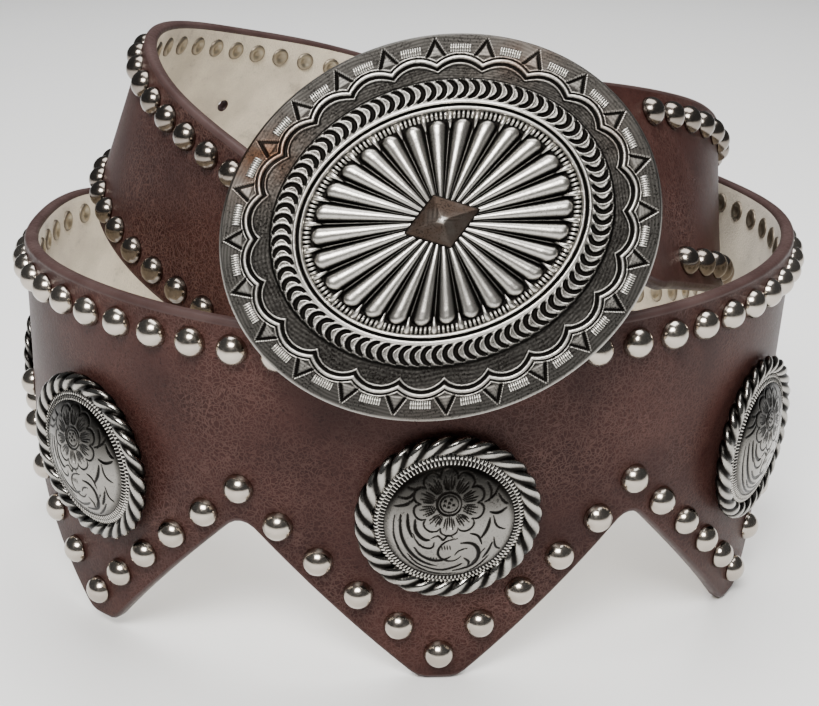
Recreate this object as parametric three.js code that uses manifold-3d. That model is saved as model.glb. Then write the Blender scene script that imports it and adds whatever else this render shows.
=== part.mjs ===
import * as THREE from 'three';
import { mergeVertices } from 'three/addons/utils/BufferGeometryUtils.js';
import Module from 'manifold-3d';

// A western concho belt, unfastened and coiled in two turns. It stands on the blunt tips of its zigzag edge.
// Millimetres, +Z up, the buckle faces -Y and +X is to the right of someone who looks at the buckle.

// Strap
const STRAP_WIDTH = 50.8;
const LEATHER = 3.5;
const EDGE_BEVEL = 0.9;
const FREE_END_WIDTH = 24;
const FREE_END_TAPER = 26;
const BUCKLE_END_WIDTH = 42;
const BUCKLE_END_TAPER = 20;
const BUCKLE_END_STRAIGHT = 8;

// Zigzag panel
const TIP_COUNT = 5;
const TIP_PITCH = 92;
const TIP_DROP = 40;
const TIP_FLAT = 9;
const NOTCH_FLAT = 4;

// Studs
const STUD_DIAMETER = 6.4;
const STUD_HEIGHT = 2.8;
const STUD_SPACING = 9.9;
const STUD_INSET = 6.6;
const ZIGZAG_STUDS_PER_TIP = 10;
const STUD_SIDES = 5;

// Punched holes for the hook
const HOLE_DIAMETER = 4;
const HOLE_SPACING = 32;
const HOLE_COUNT = 5;
const FIRST_HOLE = 105;

// Conchos
const CONCHO_DIAMETER = 42;
const CONCHO_EDGE = 1.4;
const ROPE_WIDTH = 4.6;
const ROPE_HEIGHT = 3.8;
const CONCHO_DOME = 5.4;
const CONCHO_ABOVE_EDGE = 7;
const POST_DIAMETER = 4;
const POST_HEAD_DIAMETER = 8;
const POST_HEAD = 1.2;
const CONCHO_SIDES = 16;
const CONCHO_PITCH = 89;
const CONCHO_SHIFT = -1;

// Buckle
const BUCKLE_LENGTH = 92;
const BUCKLE_HEIGHT = 78.5;
const PLATE = 1.8;
const BORDER_WIDTH = 8.2;
const BAND_WIDTH = 6.4;
const BAND_RISE = 1.5;
const TICK_RING_WIDTH = 3;
const FLUTE_COUNT = 30;
const FLUTE_RISE = 1;
const DIAMOND_LENGTH = 17;
const DIAMOND_WIDTH = 12;
const DIAMOND_RISE = 4.2;
const BUCKLE_FACING = 21;

// Bar that the strap's end is rolled round, and the button that goes through a punched hole
const BAR_DIAMETER = 4;
const BAR_FROM_CENTRE = 30.5;
const LUG = 2;
const BUTTON_DIAMETER = 3.4;
const BUTTON_HEAD_DIAMETER = 6;
const BUTTON_LENGTH = 6;

// Clearance kept between separate pieces
const GAP = 0.3;

// Coil. Each row is one place along the strap, from its free end inside the coil to the buckle. turn is the
// angle in degrees round the coil's middle, from the front towards the left. reach is the distance from the
// middle in shares of LOOP_RADIUS. lift is how far the strap's straight lower edge has risen from its place
// over the standing tips, in shares of STRAP_WIDTH. lean is how far the top edge tips inward, in degrees.
const LOOP_RADIUS = 100;
const COIL = [
  { turn: 14, reach: 0.72, lift: 0.38, lean: -5 },
  { turn: 40, reach: 0.67, lift: 0.57, lean: 2 },
  { turn: 70, reach: 0.715, lift: 0.82, lean: 12 },
  { turn: 100, reach: 0.8, lift: 1.06, lean: 22 },
  { turn: 120, reach: 0.85, lift: 1.045, lean: 24 },
  { turn: 140, reach: 0.89, lift: 0.89, lean: 20 },
  { turn: 160, reach: 0.915, lift: 0.66, lean: 9 },
  { turn: 180, reach: 0.945, lift: 0.43, lean: -2 },
  { turn: 200, reach: 0.96, lift: 0.26, lean: -7 },
  { turn: 220, reach: 0.97, lift: 0.12, lean: -8 },
  { turn: 240, reach: 0.98, lift: 0.02, lean: -7 },
  { turn: 270, reach: 1, lift: 0, lean: -5 },
  { turn: 300, reach: 1.005, lift: 0, lean: -2 },
  { turn: 330, reach: 0.99, lift: 0, lean: -4 },
  { turn: 360, reach: 0.98, lift: 0, lean: -6 },
  { turn: 390, reach: 1.01, lift: 0.035, lean: -4 },
  { turn: 420, reach: 1.035, lift: 0.05, lean: 1 },
  { turn: 445, reach: 1.01, lift: 0.02, lean: 2 },
  { turn: 465, reach: 0.975, lift: -0.02, lean: 0 },
  { turn: 480, reach: 0.92, lift: -0.155, lean: -4 },
  { turn: 500, reach: 0.85, lift: -0.22, lean: -8 },
  { turn: 520, reach: 0.805, lift: -0.22, lean: -11 },
  { turn: 540, reach: 0.795, lift: -0.19, lean: -11 },
  { turn: 560, reach: 0.805, lift: -0.12, lean: -11 },
  { turn: 580, reach: 0.835, lift: -0.02, lean: -10 },
  { turn: 600, reach: 0.865, lift: 0.13, lean: -8 },
  { turn: 620, reach: 0.86, lift: 0.34, lean: -4 },
  { turn: 640, reach: 0.815, lift: 0.63, lean: 11 },
  { turn: 660, reach: 0.775, lift: 0.9, lean: 24 },
  { turn: 680, reach: 0.79, lift: 1.08, lean: 28.5 },
  { turn: 698, reach: 0.945, lift: 1.18, lean: 28 },
];
// The middle tip of the zigzag panel hangs at this angle of the coil.
const MIDDLE_TIP_TURN = 355.5;

const UP = new THREE.Vector3(0, 0, 1);
const rad = THREE.MathUtils.degToRad;

const wasm = await Module();
wasm.setup();

function toSolid(geometry) {
  const bare = geometry.clone();
  bare.deleteAttribute('normal');
  bare.deleteAttribute('uv');
  const merged = mergeVertices(bare, 1e-5);
  return new wasm.Manifold(new wasm.Mesh({
    numProp: 3,
    vertProperties: new Float32Array(merged.attributes.position.array),
    triVerts: new Uint32Array(merged.index.array),
  }));
}

function toGeometry(solid) {
  const mesh = solid.getMesh();
  const geometry = new THREE.BufferGeometry();
  geometry.setAttribute('position', new THREE.BufferAttribute(new Float32Array(mesh.vertProperties), 3));
  geometry.setIndex(new THREE.BufferAttribute(new Uint32Array(mesh.triVerts), 1));
  geometry.computeVertexNormals();
  return geometry;
}

function addAll(solids) {
  let layer = solids;
  while (layer.length > 1) {
    const next = [];
    for (let i = 0; i < layer.length; i += 2) next.push(i + 1 < layer.length ? layer[i].add(layer[i + 1]) : layer[i]);
    layer = next;
  }
  return layer[0];
}

// Smooth curve through a column of the table, with no bend at its two ends.
function columnCurve(column) {
  const x = COIL.map((row) => row.turn);
  const y = COIL.map((row) => row[column]);
  const last = x.length - 1;
  const bend = new Array(last + 1).fill(0);
  const ratio = new Array(last + 1).fill(0);
  const carry = new Array(last + 1).fill(0);
  for (let i = 1; i < last; i++) {
    const before = x[i] - x[i - 1];
    const after = x[i + 1] - x[i];
    const pull = 6 * ((y[i + 1] - y[i]) / after - (y[i] - y[i - 1]) / before);
    const pivot = 2 * (before + after) - before * ratio[i - 1];
    ratio[i] = after / pivot;
    carry[i] = (pull - before * carry[i - 1]) / pivot;
  }
  for (let i = last - 1; i > 0; i--) bend[i] = carry[i] - ratio[i] * bend[i + 1];
  return (turn) => {
    let i = 0;
    while (i < last - 1 && turn > x[i + 1]) i++;
    const span = x[i + 1] - x[i];
    const a = (x[i + 1] - turn) / span;
    const b = 1 - a;
    const sag = ((a ** 3 - a) * bend[i] + (b ** 3 - b) * bend[i + 1]) * span * span / 6;
    return a * y[i] + b * y[i + 1] + sag;
  };
}

const reachAt = columnCurve('reach');
const liftAt = columnCurve('lift');
const leanAt = columnCurve('lean');

function middleOfStrap(turn) {
  const reach = reachAt(turn) * LOOP_RADIUS;
  const standing = (TIP_DROP + STRAP_WIDTH / 2) * Math.cos(rad(leanAt(turn)));
  return new THREE.Vector3(-reach * Math.sin(rad(turn)), -reach * Math.cos(rad(turn)),
    standing + liftAt(turn) * STRAP_WIDTH);
}

// Length along the strap at each quarter degree of turn.
const firstTurn = COIL[0].turn;
const lastTurn = COIL[COIL.length - 1].turn;
const QUARTER = 0.25;
const lengthAt = [0];
for (let turn = firstTurn; turn < lastTurn - QUARTER / 2; turn += QUARTER) {
  lengthAt.push(lengthAt[lengthAt.length - 1] + middleOfStrap(turn).distanceTo(middleOfStrap(turn + QUARTER)));
}
const strapLength = lengthAt[lengthAt.length - 1];

function turnOf(along) {
  let low = 0;
  let high = lengthAt.length - 1;
  while (high - low > 1) {
    const mid = (low + high) >> 1;
    if (lengthAt[mid] <= along) low = mid; else high = mid;
  }
  return firstTurn + QUARTER * (low + (along - lengthAt[low]) / (lengthAt[high] - lengthAt[low]));
}

function lengthOf(turn) {
  const place = (turn - firstTurn) / QUARTER;
  const low = Math.floor(place);
  return lengthAt[low] + (place - low) * (lengthAt[low + 1] - lengthAt[low]);
}

// The strap's own directions at a length along it: forward to the buckle, across to its top edge, and outward.
function strapFrame(along) {
  const turn = turnOf(along);
  const forward = middleOfStrap(turn + 0.1).sub(middleOfStrap(turn - 0.1)).normalize();
  const upright = UP.clone().addScaledVector(forward, -forward.z).normalize();
  const inward = forward.clone().cross(upright);
  const lean = rad(leanAt(turn));
  const across = upright.multiplyScalar(Math.cos(lean)).addScaledVector(inward, Math.sin(lean));
  const outward = across.clone().cross(forward);
  return { middle: middleOfStrap(turn), forward, across, outward };
}

function strapPoint(frame, width, depth) {
  return frame.middle.clone()
    .addScaledVector(frame.across, width - STRAP_WIDTH / 2)
    .addScaledVector(frame.outward, depth);
}

// Moves a piece made about its own origin, with Y across the strap and Z outward, to a place on the strap.
function onStrap(geometry, along, width, depth) {
  const frame = strapFrame(along);
  const backward = frame.forward.clone().negate();
  const place = new THREE.Matrix4().makeBasis(backward, frame.across, frame.outward);
  place.setPosition(strapPoint(frame, width, depth));
  return geometry.applyMatrix4(place);
}

const middleTip = lengthOf(MIDDLE_TIP_TURN);
const panelHalf = TIP_COUNT * TIP_PITCH / 2;
const panelStart = middleTip - panelHalf;
const panelEnd = middleTip + panelHalf;
// One stud of the top row stands here, a little past the middle tip, and the row is counted from it.
const rowAnchor = middleTip + STUD_SPACING * 0.65;

function fromNearestTip(along) {
  const tip = Math.round((along - panelStart) / TIP_PITCH - 0.5) + 0.5;
  return Math.abs(along - panelStart - tip * TIP_PITCH);
}

// Height of the lower edge over the straight edge's line: a zigzag along the panel, straight beyond it.
function lowerEdge(along) {
  if (along <= panelStart || along >= panelEnd) return 0;
  const run = TIP_PITCH / 2 - TIP_FLAT / 2 - NOTCH_FLAT / 2;
  const up = THREE.MathUtils.clamp((fromNearestTip(along) - TIP_FLAT / 2) / run, 0, 1);
  return -TIP_DROP * (1 - up);
}

// How much narrower the strap is on each side, towards its free end and where it joins the buckle.
function endCut(along) {
  const toFreeEnd = Math.max(0, 1 - along / FREE_END_TAPER);
  const fromStraight = Math.max(0, strapLength - BUCKLE_END_STRAIGHT - along);
  const toBuckle = Math.max(0, 1 - fromStraight / BUCKLE_END_TAPER);
  return ((STRAP_WIDTH - FREE_END_WIDTH) * toFreeEnd + (STRAP_WIDTH - BUCKLE_END_WIDTH) * toBuckle) / 2;
}

// Lengths along the strap that have a cross-section: each corner of the outline, and halfway between studs.
function strapStations() {
  const neck = strapLength - BUCKLE_END_STRAIGHT;
  const corners = [0, FREE_END_TAPER, panelStart, panelEnd, neck - BUCKLE_END_TAPER, neck, strapLength];
  corners.push(panelStart + NOTCH_FLAT / 2, panelEnd - NOTCH_FLAT / 2);
  for (let i = 0; i < TIP_COUNT; i++) {
    const tip = panelStart + (i + 0.5) * TIP_PITCH;
    corners.push(tip - TIP_FLAT / 2, tip + TIP_FLAT / 2);
    if (i > 0) corners.push(tip - TIP_PITCH / 2 - NOTCH_FLAT / 2, tip - TIP_PITCH / 2 + NOTCH_FLAT / 2);
  }
  const between = [];
  const onPanel = TIP_PITCH / ZIGZAG_STUDS_PER_TIP;
  for (let along = middleTip + onPanel / 2; along < panelEnd; along += onPanel) {
    between.push(along, 2 * middleTip - along);
  }
  const first = rowAnchor - Math.ceil(rowAnchor / STUD_SPACING - 0.5) * STUD_SPACING + STUD_SPACING / 2;
  for (let along = first; along < strapLength; along += STUD_SPACING) {
    if (along < panelStart || along > panelEnd) between.push(along);
  }
  const clear = between.filter((along) => along > 0 && corners.every((c) => Math.abs(c - along) > LEATHER));
  return [...corners, ...clear].sort((x, y) => x - y);
}

// Closed skin over rings of points, with a flat cap on the first and the last ring.
function skin(rings) {
  const sides = rings[0].length;
  const positions = rings.flat().flatMap((p) => [p.x, p.y, p.z]);
  const index = [];
  for (let i = 0; i + 1 < rings.length; i++) {
    for (let j = 0; j < sides; j++) {
      const a = i * sides + j;
      const b = i * sides + (j + 1) % sides;
      index.push(a, b, b + sides, a, b + sides, a + sides);
    }
  }
  const end = (rings.length - 1) * sides;
  for (let j = 1; j + 1 < sides; j++) {
    index.push(0, j + 1, j);
    index.push(end, end + j, end + j + 1);
  }
  const geometry = new THREE.BufferGeometry();
  geometry.setAttribute('position', new THREE.BufferAttribute(new Float32Array(positions), 3));
  geometry.setIndex(index);
  return geometry;
}

function strapBody() {
  const half = LEATHER / 2;
  const rings = strapStations().map((along) => {
    const frame = strapFrame(along);
    const low = lowerEdge(along) + endCut(along);
    const top = STRAP_WIDTH - endCut(along);
    const outline = [
      [top - EDGE_BEVEL, half], [top, half - EDGE_BEVEL], [top, EDGE_BEVEL - half], [top - EDGE_BEVEL, -half],
      [low + EDGE_BEVEL, -half], [low, EDGE_BEVEL - half], [low, half - EDGE_BEVEL], [low + EDGE_BEVEL, half],
    ];
    return outline.map(([width, depth]) => strapPoint(frame, width, depth));
  });
  return toSolid(skin(rings));
}

// Places of all studs: the top row runs the whole way, the lower row follows the edge.
function studPlaces() {
  const places = [];
  const first = FREE_END_TAPER + STUD_INSET;
  const last = strapLength - eyeRadius - STUD_DIAMETER * 6;
  const back = Math.floor((rowAnchor - first) / STUD_SPACING);
  for (let along = rowAnchor - back * STUD_SPACING; along <= last; along += STUD_SPACING) {
    places.push([along, STRAP_WIDTH - STUD_INSET]);
    if (along < panelStart - STUD_DIAMETER / 2 || along > panelEnd + STUD_DIAMETER / 2) {
      places.push([along, STUD_INSET]);
    }
  }
  const slope = Math.hypot(TIP_DROP, (TIP_PITCH - TIP_FLAT - NOTCH_FLAT) / 2) * 2 / (TIP_PITCH - TIP_FLAT - NOTCH_FLAT);
  const overNotch = STUD_INSET * slope;
  const overTip = STUD_INSET + 1.2;
  const perHalf = ZIGZAG_STUDS_PER_TIP / 2;
  for (let k = 1 - perHalf * TIP_COUNT; k < perHalf * TIP_COUNT; k++) {
    const along = middleTip + k * TIP_PITCH / ZIGZAG_STUDS_PER_TIP;
    const step = fromNearestTip(along) / (TIP_PITCH / 2);
    places.push([along, (overTip - TIP_DROP) * (1 - step) + overNotch * step]);
  }
  return places;
}

// A round-headed stud, faceted: it starts inside the leather and narrows to its flat crown.
function studBody() {
  const ring = (radius, height) => Array.from({ length: STUD_SIDES }, (_, j) => {
    const angle = 2 * Math.PI * (j + 0.25) / STUD_SIDES;
    return new THREE.Vector3(radius * Math.cos(angle), radius * Math.sin(angle), height);
  });
  return skin([ring(STUD_DIAMETER * 0.54, -LEATHER / 4), ring(STUD_DIAMETER * 0.3, STUD_HEIGHT)]);
}

const barRadius = BAR_DIAMETER / 2;
const eyeRadius = barRadius + GAP + LEATHER;

function pin(radius, length, sides) {
  return new THREE.CylinderGeometry(radius, radius, length, sides);
}

const conchoPlaces = [];
for (let i = 0; i < TIP_COUNT; i++) {
  const fromMiddle = i - (TIP_COUNT - 1) / 2;
  conchoPlaces.push([middleTip + CONCHO_SHIFT + fromMiddle * CONCHO_PITCH, CONCHO_ABOVE_EDGE]);
}

function strap() {
  const studs = studPlaces().map(([along, width]) => toSolid(onStrap(studBody(), along, width, LEATHER / 2)));
  const eye = toSolid(onStrap(pin(eyeRadius, BUCKLE_END_WIDTH, 14), strapLength, STRAP_WIDTH / 2, 0));
  let body = addAll([strapBody(), ...studs, eye]);
  const cuts = [toSolid(onStrap(pin(barRadius + GAP, STRAP_WIDTH * 1.5, 10), strapLength, STRAP_WIDTH / 2, 0))];
  for (let i = 0; i < HOLE_COUNT; i++) {
    const hole = pin(HOLE_DIAMETER / 2, LEATHER * 3, 8).rotateX(Math.PI / 2);
    cuts.push(toSolid(onStrap(hole, FIRST_HOLE + i * HOLE_SPACING, STRAP_WIDTH / 2, 0)));
  }
  for (const [along, above] of conchoPlaces) {
    const hole = pin(POST_DIAMETER / 2 + GAP, LEATHER * 3, 8).rotateX(Math.PI / 2);
    cuts.push(toSolid(onStrap(hole, along, above, 0)));
  }
  for (const cut of cuts) body = body.subtract(cut);
  return toGeometry(body);
}

// Relief plate over an outline: rings of the outline at an inset from its edge, each at its own height.
function reliefPlate(halfLength, halfHeight, sides, steps) {
  const ring = (inset, height, lift) => Array.from({ length: sides }, (_, j) => {
    const angle = 2 * Math.PI * j / sides;
    const rise = j % 2 ? lift : 0;
    return new THREE.Vector3((halfLength - inset) * Math.cos(angle), (halfHeight - inset) * Math.sin(angle),
      height + rise);
  });
  const rings = steps.map(([inset, height, lift = 0]) => ring(inset, height, lift));
  const positions = rings.flat().flatMap((p) => [p.x, p.y, p.z]);
  const index = [];
  for (let i = 0; i + 1 < rings.length; i++) {
    for (let j = 0; j < sides; j++) {
      const a = i * sides + j;
      const b = i * sides + (j + 1) % sides;
      index.push(a, b, b + sides, a, b + sides, a + sides);
    }
  }
  const back = positions.length / 3;
  const end = (rings.length - 1) * sides;
  positions.push(0, 0, 0, 0, 0, steps[steps.length - 1][1]);
  for (let j = 0; j < sides; j++) {
    index.push(back, (j + 1) % sides, j);
    index.push(back + 1, end + j, end + (j + 1) % sides);
  }
  const geometry = new THREE.BufferGeometry();
  geometry.setAttribute('position', new THREE.BufferAttribute(new Float32Array(positions), 3));
  geometry.setIndex(index);
  return geometry;
}

function concho([along, above]) {
  const radius = CONCHO_DIAMETER / 2;
  const face = reliefPlate(radius, radius, CONCHO_SIDES, [
    [0, 0], [0, CONCHO_EDGE], [ROPE_WIDTH * 0.5, ROPE_HEIGHT], [ROPE_WIDTH, CONCHO_EDGE + 1],
    [radius * 0.5, CONCHO_DOME * 0.88], [radius * 0.75, CONCHO_DOME],
  ]);
  const bend = POST_HEAD_DIAMETER ** 2 / (8 * LOOP_RADIUS * 0.8);
  const through = LEATHER + 2 * GAP + bend;
  const post = pin(POST_DIAMETER / 2, through + POST_HEAD + CONCHO_EDGE / 2, 8).rotateX(Math.PI / 2);
  post.translate(0, 0, CONCHO_EDGE / 2 - (through + POST_HEAD + CONCHO_EDGE / 2) / 2);
  const head = pin(POST_HEAD_DIAMETER / 2, POST_HEAD, 10).rotateX(Math.PI / 2);
  head.translate(0, 0, -through - POST_HEAD / 2);
  const body = addAll([face, post, head].map(toSolid));
  return onStrap(toGeometry(body), along, above, LEATHER / 2 + GAP);
}

// The buckle hangs on the bar in the strap's rolled end, swung so that its face looks to the front.
function buckle() {
  const halfLength = BUCKLE_LENGTH / 2;
  const halfHeight = BUCKLE_HEIGHT / 2;
  const bandStart = BORDER_WIDTH;
  const bandEnd = BORDER_WIDTH + BAND_WIDTH;
  const fluteStart = bandEnd + TICK_RING_WIDTH;
  const sides = FLUTE_COUNT * 2;
  const plate = reliefPlate(halfLength, halfHeight, sides, [
    [0, 0], [0, PLATE - 0.5], [0.6, PLATE], [bandStart, PLATE], [bandStart + BAND_WIDTH * 0.45, PLATE + BAND_RISE],
    [bandEnd, PLATE + BAND_RISE * 0.5], [fluteStart, PLATE + 0.3], [fluteStart + 1.5, PLATE + 0.3, FLUTE_RISE],
    [halfHeight * 0.82, PLATE + 1, FLUTE_RISE * 0.3],
  ]);
  const diamond = new THREE.ConeGeometry(0.5, 1, 4).rotateX(Math.PI / 2).translate(0, 0, 0.5);
  diamond.scale(DIAMOND_LENGTH, DIAMOND_WIDTH, DIAMOND_RISE + 1).translate(0, 0, PLATE - 0.5);
  const parts = [plate, diamond];
  const barDepth = -(eyeRadius + 2 * GAP);
  const lugPlace = BUCKLE_END_WIDTH / 2 + GAP + LUG / 2;
  for (const side of [-1, 1]) {
    const lugHeight = barRadius - barDepth + PLATE / 2;
    const lug = new THREE.BoxGeometry(BAR_DIAMETER, LUG, lugHeight);
    lug.translate(BAR_FROM_CENTRE, side * lugPlace, PLATE / 2 - lugHeight / 2);
    parts.push(lug);
  }
  parts.push(pin(barRadius * 0.98, 2 * lugPlace, 10).translate(BAR_FROM_CENTRE, 0, barDepth));
  const button = pin(BUTTON_DIAMETER / 2, BUTTON_LENGTH + PLATE / 2, 8).rotateX(Math.PI / 2);
  button.translate(-BAR_FROM_CENTRE, 0, PLATE / 2 - (BUTTON_LENGTH + PLATE / 2) / 2);
  const head = pin(BUTTON_HEAD_DIAMETER / 2, 1.4, 8).rotateX(Math.PI / 2);
  head.translate(-BAR_FROM_CENTRE, 0, -BUTTON_LENGTH);
  const body = toGeometry(addAll([...parts, button, head].map(toSolid)));

  const end = strapFrame(strapLength);
  const looksTo = new THREE.Vector3(0, -Math.cos(rad(BUCKLE_FACING)), Math.sin(rad(BUCKLE_FACING)));
  const face = looksTo.addScaledVector(end.across, -looksTo.dot(end.across)).normalize();
  const longWay = end.across.clone().cross(face);
  const place = new THREE.Matrix4().makeBasis(longWay, end.across, face);
  const origin = end.middle.clone().addScaledVector(longWay, -BAR_FROM_CENTRE).addScaledVector(face, -barDepth);
  return body.applyMatrix4(place.setPosition(origin));
}

const leather = new THREE.MeshStandardMaterial({ color: 0x4b322f, roughness: 0.42, metalness: 0 });
const oldSilver = new THREE.MeshStandardMaterial({ color: 0x8f8c88, roughness: 0.35, metalness: 1 });
const buckleSilver = new THREE.MeshStandardMaterial({ color: 0x9a9690, roughness: 0.33, metalness: 1 });

function piece(name, geometry, material) {
  const mesh = new THREE.Mesh(geometry, material);
  mesh.name = name;
  return mesh;
}

const belt = new THREE.Group();
belt.add(piece('strap', strap(), leather));
conchoPlaces.forEach((place, i) => belt.add(piece(`concho_${i + 1}`, concho(place), oldSilver)));
belt.add(piece('buckle', buckle(), buckleSilver));

// The belt stands on z = 0 with the middle of its outline over the origin.
const outline = new THREE.Box3().setFromObject(belt);
const middle = outline.getCenter(new THREE.Vector3());
belt.position.set(-middle.x, -middle.y, -outline.min.z);

const group = new THREE.Group();
group.add(belt);

export default group;
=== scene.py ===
"""Western concho belt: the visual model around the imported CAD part.

A leather strap with a zigzag front panel, coiled in two turns, with round-headed studs, rope-edged
conchos and an oval sunburst buckle. Sizes are in millimetres in the row frame and become metres in
the meshes. Places along the strap are (along, width, depth): the distance from its free end, the
height over its straight lower edge, and the distance outward from the leather's middle.
"""
import logging
import math
from dataclasses import dataclass
from enum import Enum

import bpy
import numpy as np
from mathutils import Matrix, Vector


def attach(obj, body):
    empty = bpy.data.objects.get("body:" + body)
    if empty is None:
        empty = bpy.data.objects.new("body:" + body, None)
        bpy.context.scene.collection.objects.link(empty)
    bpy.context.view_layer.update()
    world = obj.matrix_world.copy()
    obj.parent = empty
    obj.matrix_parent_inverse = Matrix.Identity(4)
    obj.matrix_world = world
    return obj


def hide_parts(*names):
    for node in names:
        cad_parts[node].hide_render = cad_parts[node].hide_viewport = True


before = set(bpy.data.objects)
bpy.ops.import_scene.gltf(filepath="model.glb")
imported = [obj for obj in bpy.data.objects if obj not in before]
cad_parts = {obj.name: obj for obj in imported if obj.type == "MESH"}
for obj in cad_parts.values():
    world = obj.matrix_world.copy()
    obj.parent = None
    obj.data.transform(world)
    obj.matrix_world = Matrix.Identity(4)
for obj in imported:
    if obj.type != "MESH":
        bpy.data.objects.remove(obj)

MM = 0.001
LOG = logging.getLogger("belt")
# Where the middle of the coil stands in the row frame, whose origin is the middle of the outline
COIL_MIDDLE = np.array([1.3716, 6.7739, 0.2173])
Colour = tuple[float, float, float, float]
Line = tuple[np.ndarray, np.ndarray, float]
Looks = dict[str, bpy.types.Material]


class Side(Enum):
    """The faces of the leather, in the order of its material slots."""

    GRAIN = 0
    FLESH = 1
    EDGE = 2


def smooth(low: float, high: float, value: np.ndarray) -> np.ndarray:
    """Smooth step of value from 0 at low to 1 at high."""
    t = np.clip((value - low) / (high - low), 0.0, 1.0)
    return t * t * (3.0 - 2.0 * t)


def spline(x: np.ndarray, y: np.ndarray, at: np.ndarray) -> np.ndarray:
    """Natural cubic spline.

    Args:
        x: rising knots.
        y: values at the knots.
        at: places to read the curve at.

    Returns:
        The curve's values.
    """
    n = len(x)
    h = np.diff(x)
    a = np.zeros((n, n))
    b = np.zeros(n)
    a[0, 0] = a[-1, -1] = 1.0
    for i in range(1, n - 1):
        a[i, i - 1], a[i, i], a[i, i + 1] = h[i - 1], 2 * (h[i - 1] + h[i]), h[i]
        b[i] = 6 * ((y[i + 1] - y[i]) / h[i] - (y[i] - y[i - 1]) / h[i - 1])
    bend = np.linalg.solve(a, b)
    i = np.clip(np.searchsorted(x, at) - 1, 0, n - 2)
    u = (x[i + 1] - at) / h[i]
    v = 1.0 - u
    sag = ((u ** 3 - u) * bend[i] + (v ** 3 - v) * bend[i + 1]) * h[i] ** 2 / 6
    return u * y[i] + v * y[i + 1] + sag


def unit(v: np.ndarray) -> np.ndarray:
    """Vectors along the last axis, made one long."""
    return v / np.linalg.norm(v, axis=-1, keepdims=True)


@dataclass(frozen=True)
class Row:
    """One place along the coil: degrees of turn, and shares of the loop's radius and strap's width."""

    turn: float
    reach: float
    lift: float
    lean: float


COIL_ROWS = (
    Row(14, 0.72, 0.38, -5), Row(40, 0.67, 0.57, 2), Row(70, 0.715, 0.82, 12), Row(100, 0.8, 1.06, 22),
    Row(120, 0.85, 1.045, 24), Row(140, 0.89, 0.89, 20), Row(160, 0.915, 0.66, 9), Row(180, 0.945, 0.43, -2),
    Row(200, 0.96, 0.26, -7), Row(220, 0.97, 0.12, -8), Row(240, 0.98, 0.02, -7), Row(270, 1, 0, -5),
    Row(300, 1.005, 0, -2), Row(330, 0.99, 0, -4), Row(360, 0.98, 0, -6), Row(390, 1.01, 0.035, -4),
    Row(420, 1.035, 0.05, 1), Row(445, 1.01, 0.02, 2), Row(465, 0.975, -0.02, 0), Row(480, 0.92, -0.155, -4),
    Row(500, 0.85, -0.22, -8), Row(520, 0.805, -0.22, -11), Row(540, 0.795, -0.19, -11),
    Row(560, 0.805, -0.12, -11), Row(580, 0.835, -0.02, -10), Row(600, 0.865, 0.13, -8),
    Row(620, 0.86, 0.34, -4), Row(640, 0.815, 0.63, 11), Row(660, 0.775, 0.9, 24),
    Row(680, 0.79, 1.08, 28.5), Row(698, 0.945, 1.18, 28),
)


@dataclass
class Coil:
    """The strap's route: where its middle line runs and how it leans."""

    radius: float = 100.0
    width: float = 50.8
    leather: float = 3.5
    tip_drop: float = 40.0
    step: float = 0.25

    def __post_init__(self) -> None:
        """Measures the length along the route at each quarter degree."""
        self.turns = np.array([r.turn for r in COIL_ROWS], float)
        self.columns = {name: np.array([getattr(row, name) for row in COIL_ROWS], float)
                        for name in ("reach", "lift", "lean")}
        count = round((self.turns[-1] - self.turns[0]) / self.step)
        self.fine = self.turns[0] + self.step * np.arange(count + 1)
        gaps = np.linalg.norm(np.diff(self.middle(self.fine), axis=0), axis=1)
        self.lengths = np.concatenate([[0.0], np.cumsum(gaps)])
        self.length = float(self.lengths[-1])

    def read(self, column: str, turn: np.ndarray) -> np.ndarray:
        """A column of the table at any turn."""
        return spline(self.turns, self.columns[column], turn)

    def middle(self, turn: np.ndarray) -> np.ndarray:
        """Points on the strap's middle line.

        Args:
            turn: degrees round the coil.

        Returns:
            The points, before the coil is put in the row frame.
        """
        reach = self.read("reach", turn) * self.radius
        angle = np.radians(turn)
        standing = (self.tip_drop + self.width / 2) * np.cos(np.radians(self.read("lean", turn)))
        return np.stack([-reach * np.sin(angle), -reach * np.cos(angle),
                         standing + self.read("lift", turn) * self.width], axis=-1)

    def at(self, along: np.ndarray) -> tuple[np.ndarray, ...]:
        """The strap's own directions at lengths along it.

        Args:
            along: distances from the free end.

        Returns:
            Middle points, forward, across and outward directions.
        """
        turn = np.interp(along, self.lengths, self.fine)
        forward = unit(self.middle(turn + 0.1) - self.middle(turn - 0.1))
        upright = unit(np.array([0.0, 0.0, 1.0]) - forward * forward[..., 2:3])
        inward = np.cross(forward, upright)
        lean = np.radians(self.read("lean", turn))[..., None]
        across = upright * np.cos(lean) + inward * np.sin(lean)
        return self.middle(turn) + COIL_MIDDLE, forward, across, np.cross(across, forward)

    def point(self, along: np.ndarray, width: np.ndarray, depth: np.ndarray) -> np.ndarray:
        """Points of the row frame for places on the strap.

        Args:
            along: distances from the free end.
            width: heights over the straight lower edge.
            depth: distances outward from the leather's middle.

        Returns:
            The points.
        """
        middle, _, across, outward = self.at(np.asarray(along, float))
        return middle + across * (np.asarray(width) - self.width / 2)[..., None] \
            + outward * np.asarray(depth)[..., None]

    def place(self, along: float, width: float, depth: float) -> Matrix:
        """Stand for a piece on the strap, Y across the strap and Z outward.

        Args:
            along: distance from the free end.
            width: height over the straight lower edge.
            depth: distance outward from the leather's middle.

        Returns:
            The matrix that puts the piece there.
        """
        middle, forward, across, outward = (v[0] for v in self.at(np.array([along])))
        origin = middle + across * (width - self.width / 2) + outward * depth
        return basis(-forward, across, outward, origin)


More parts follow.
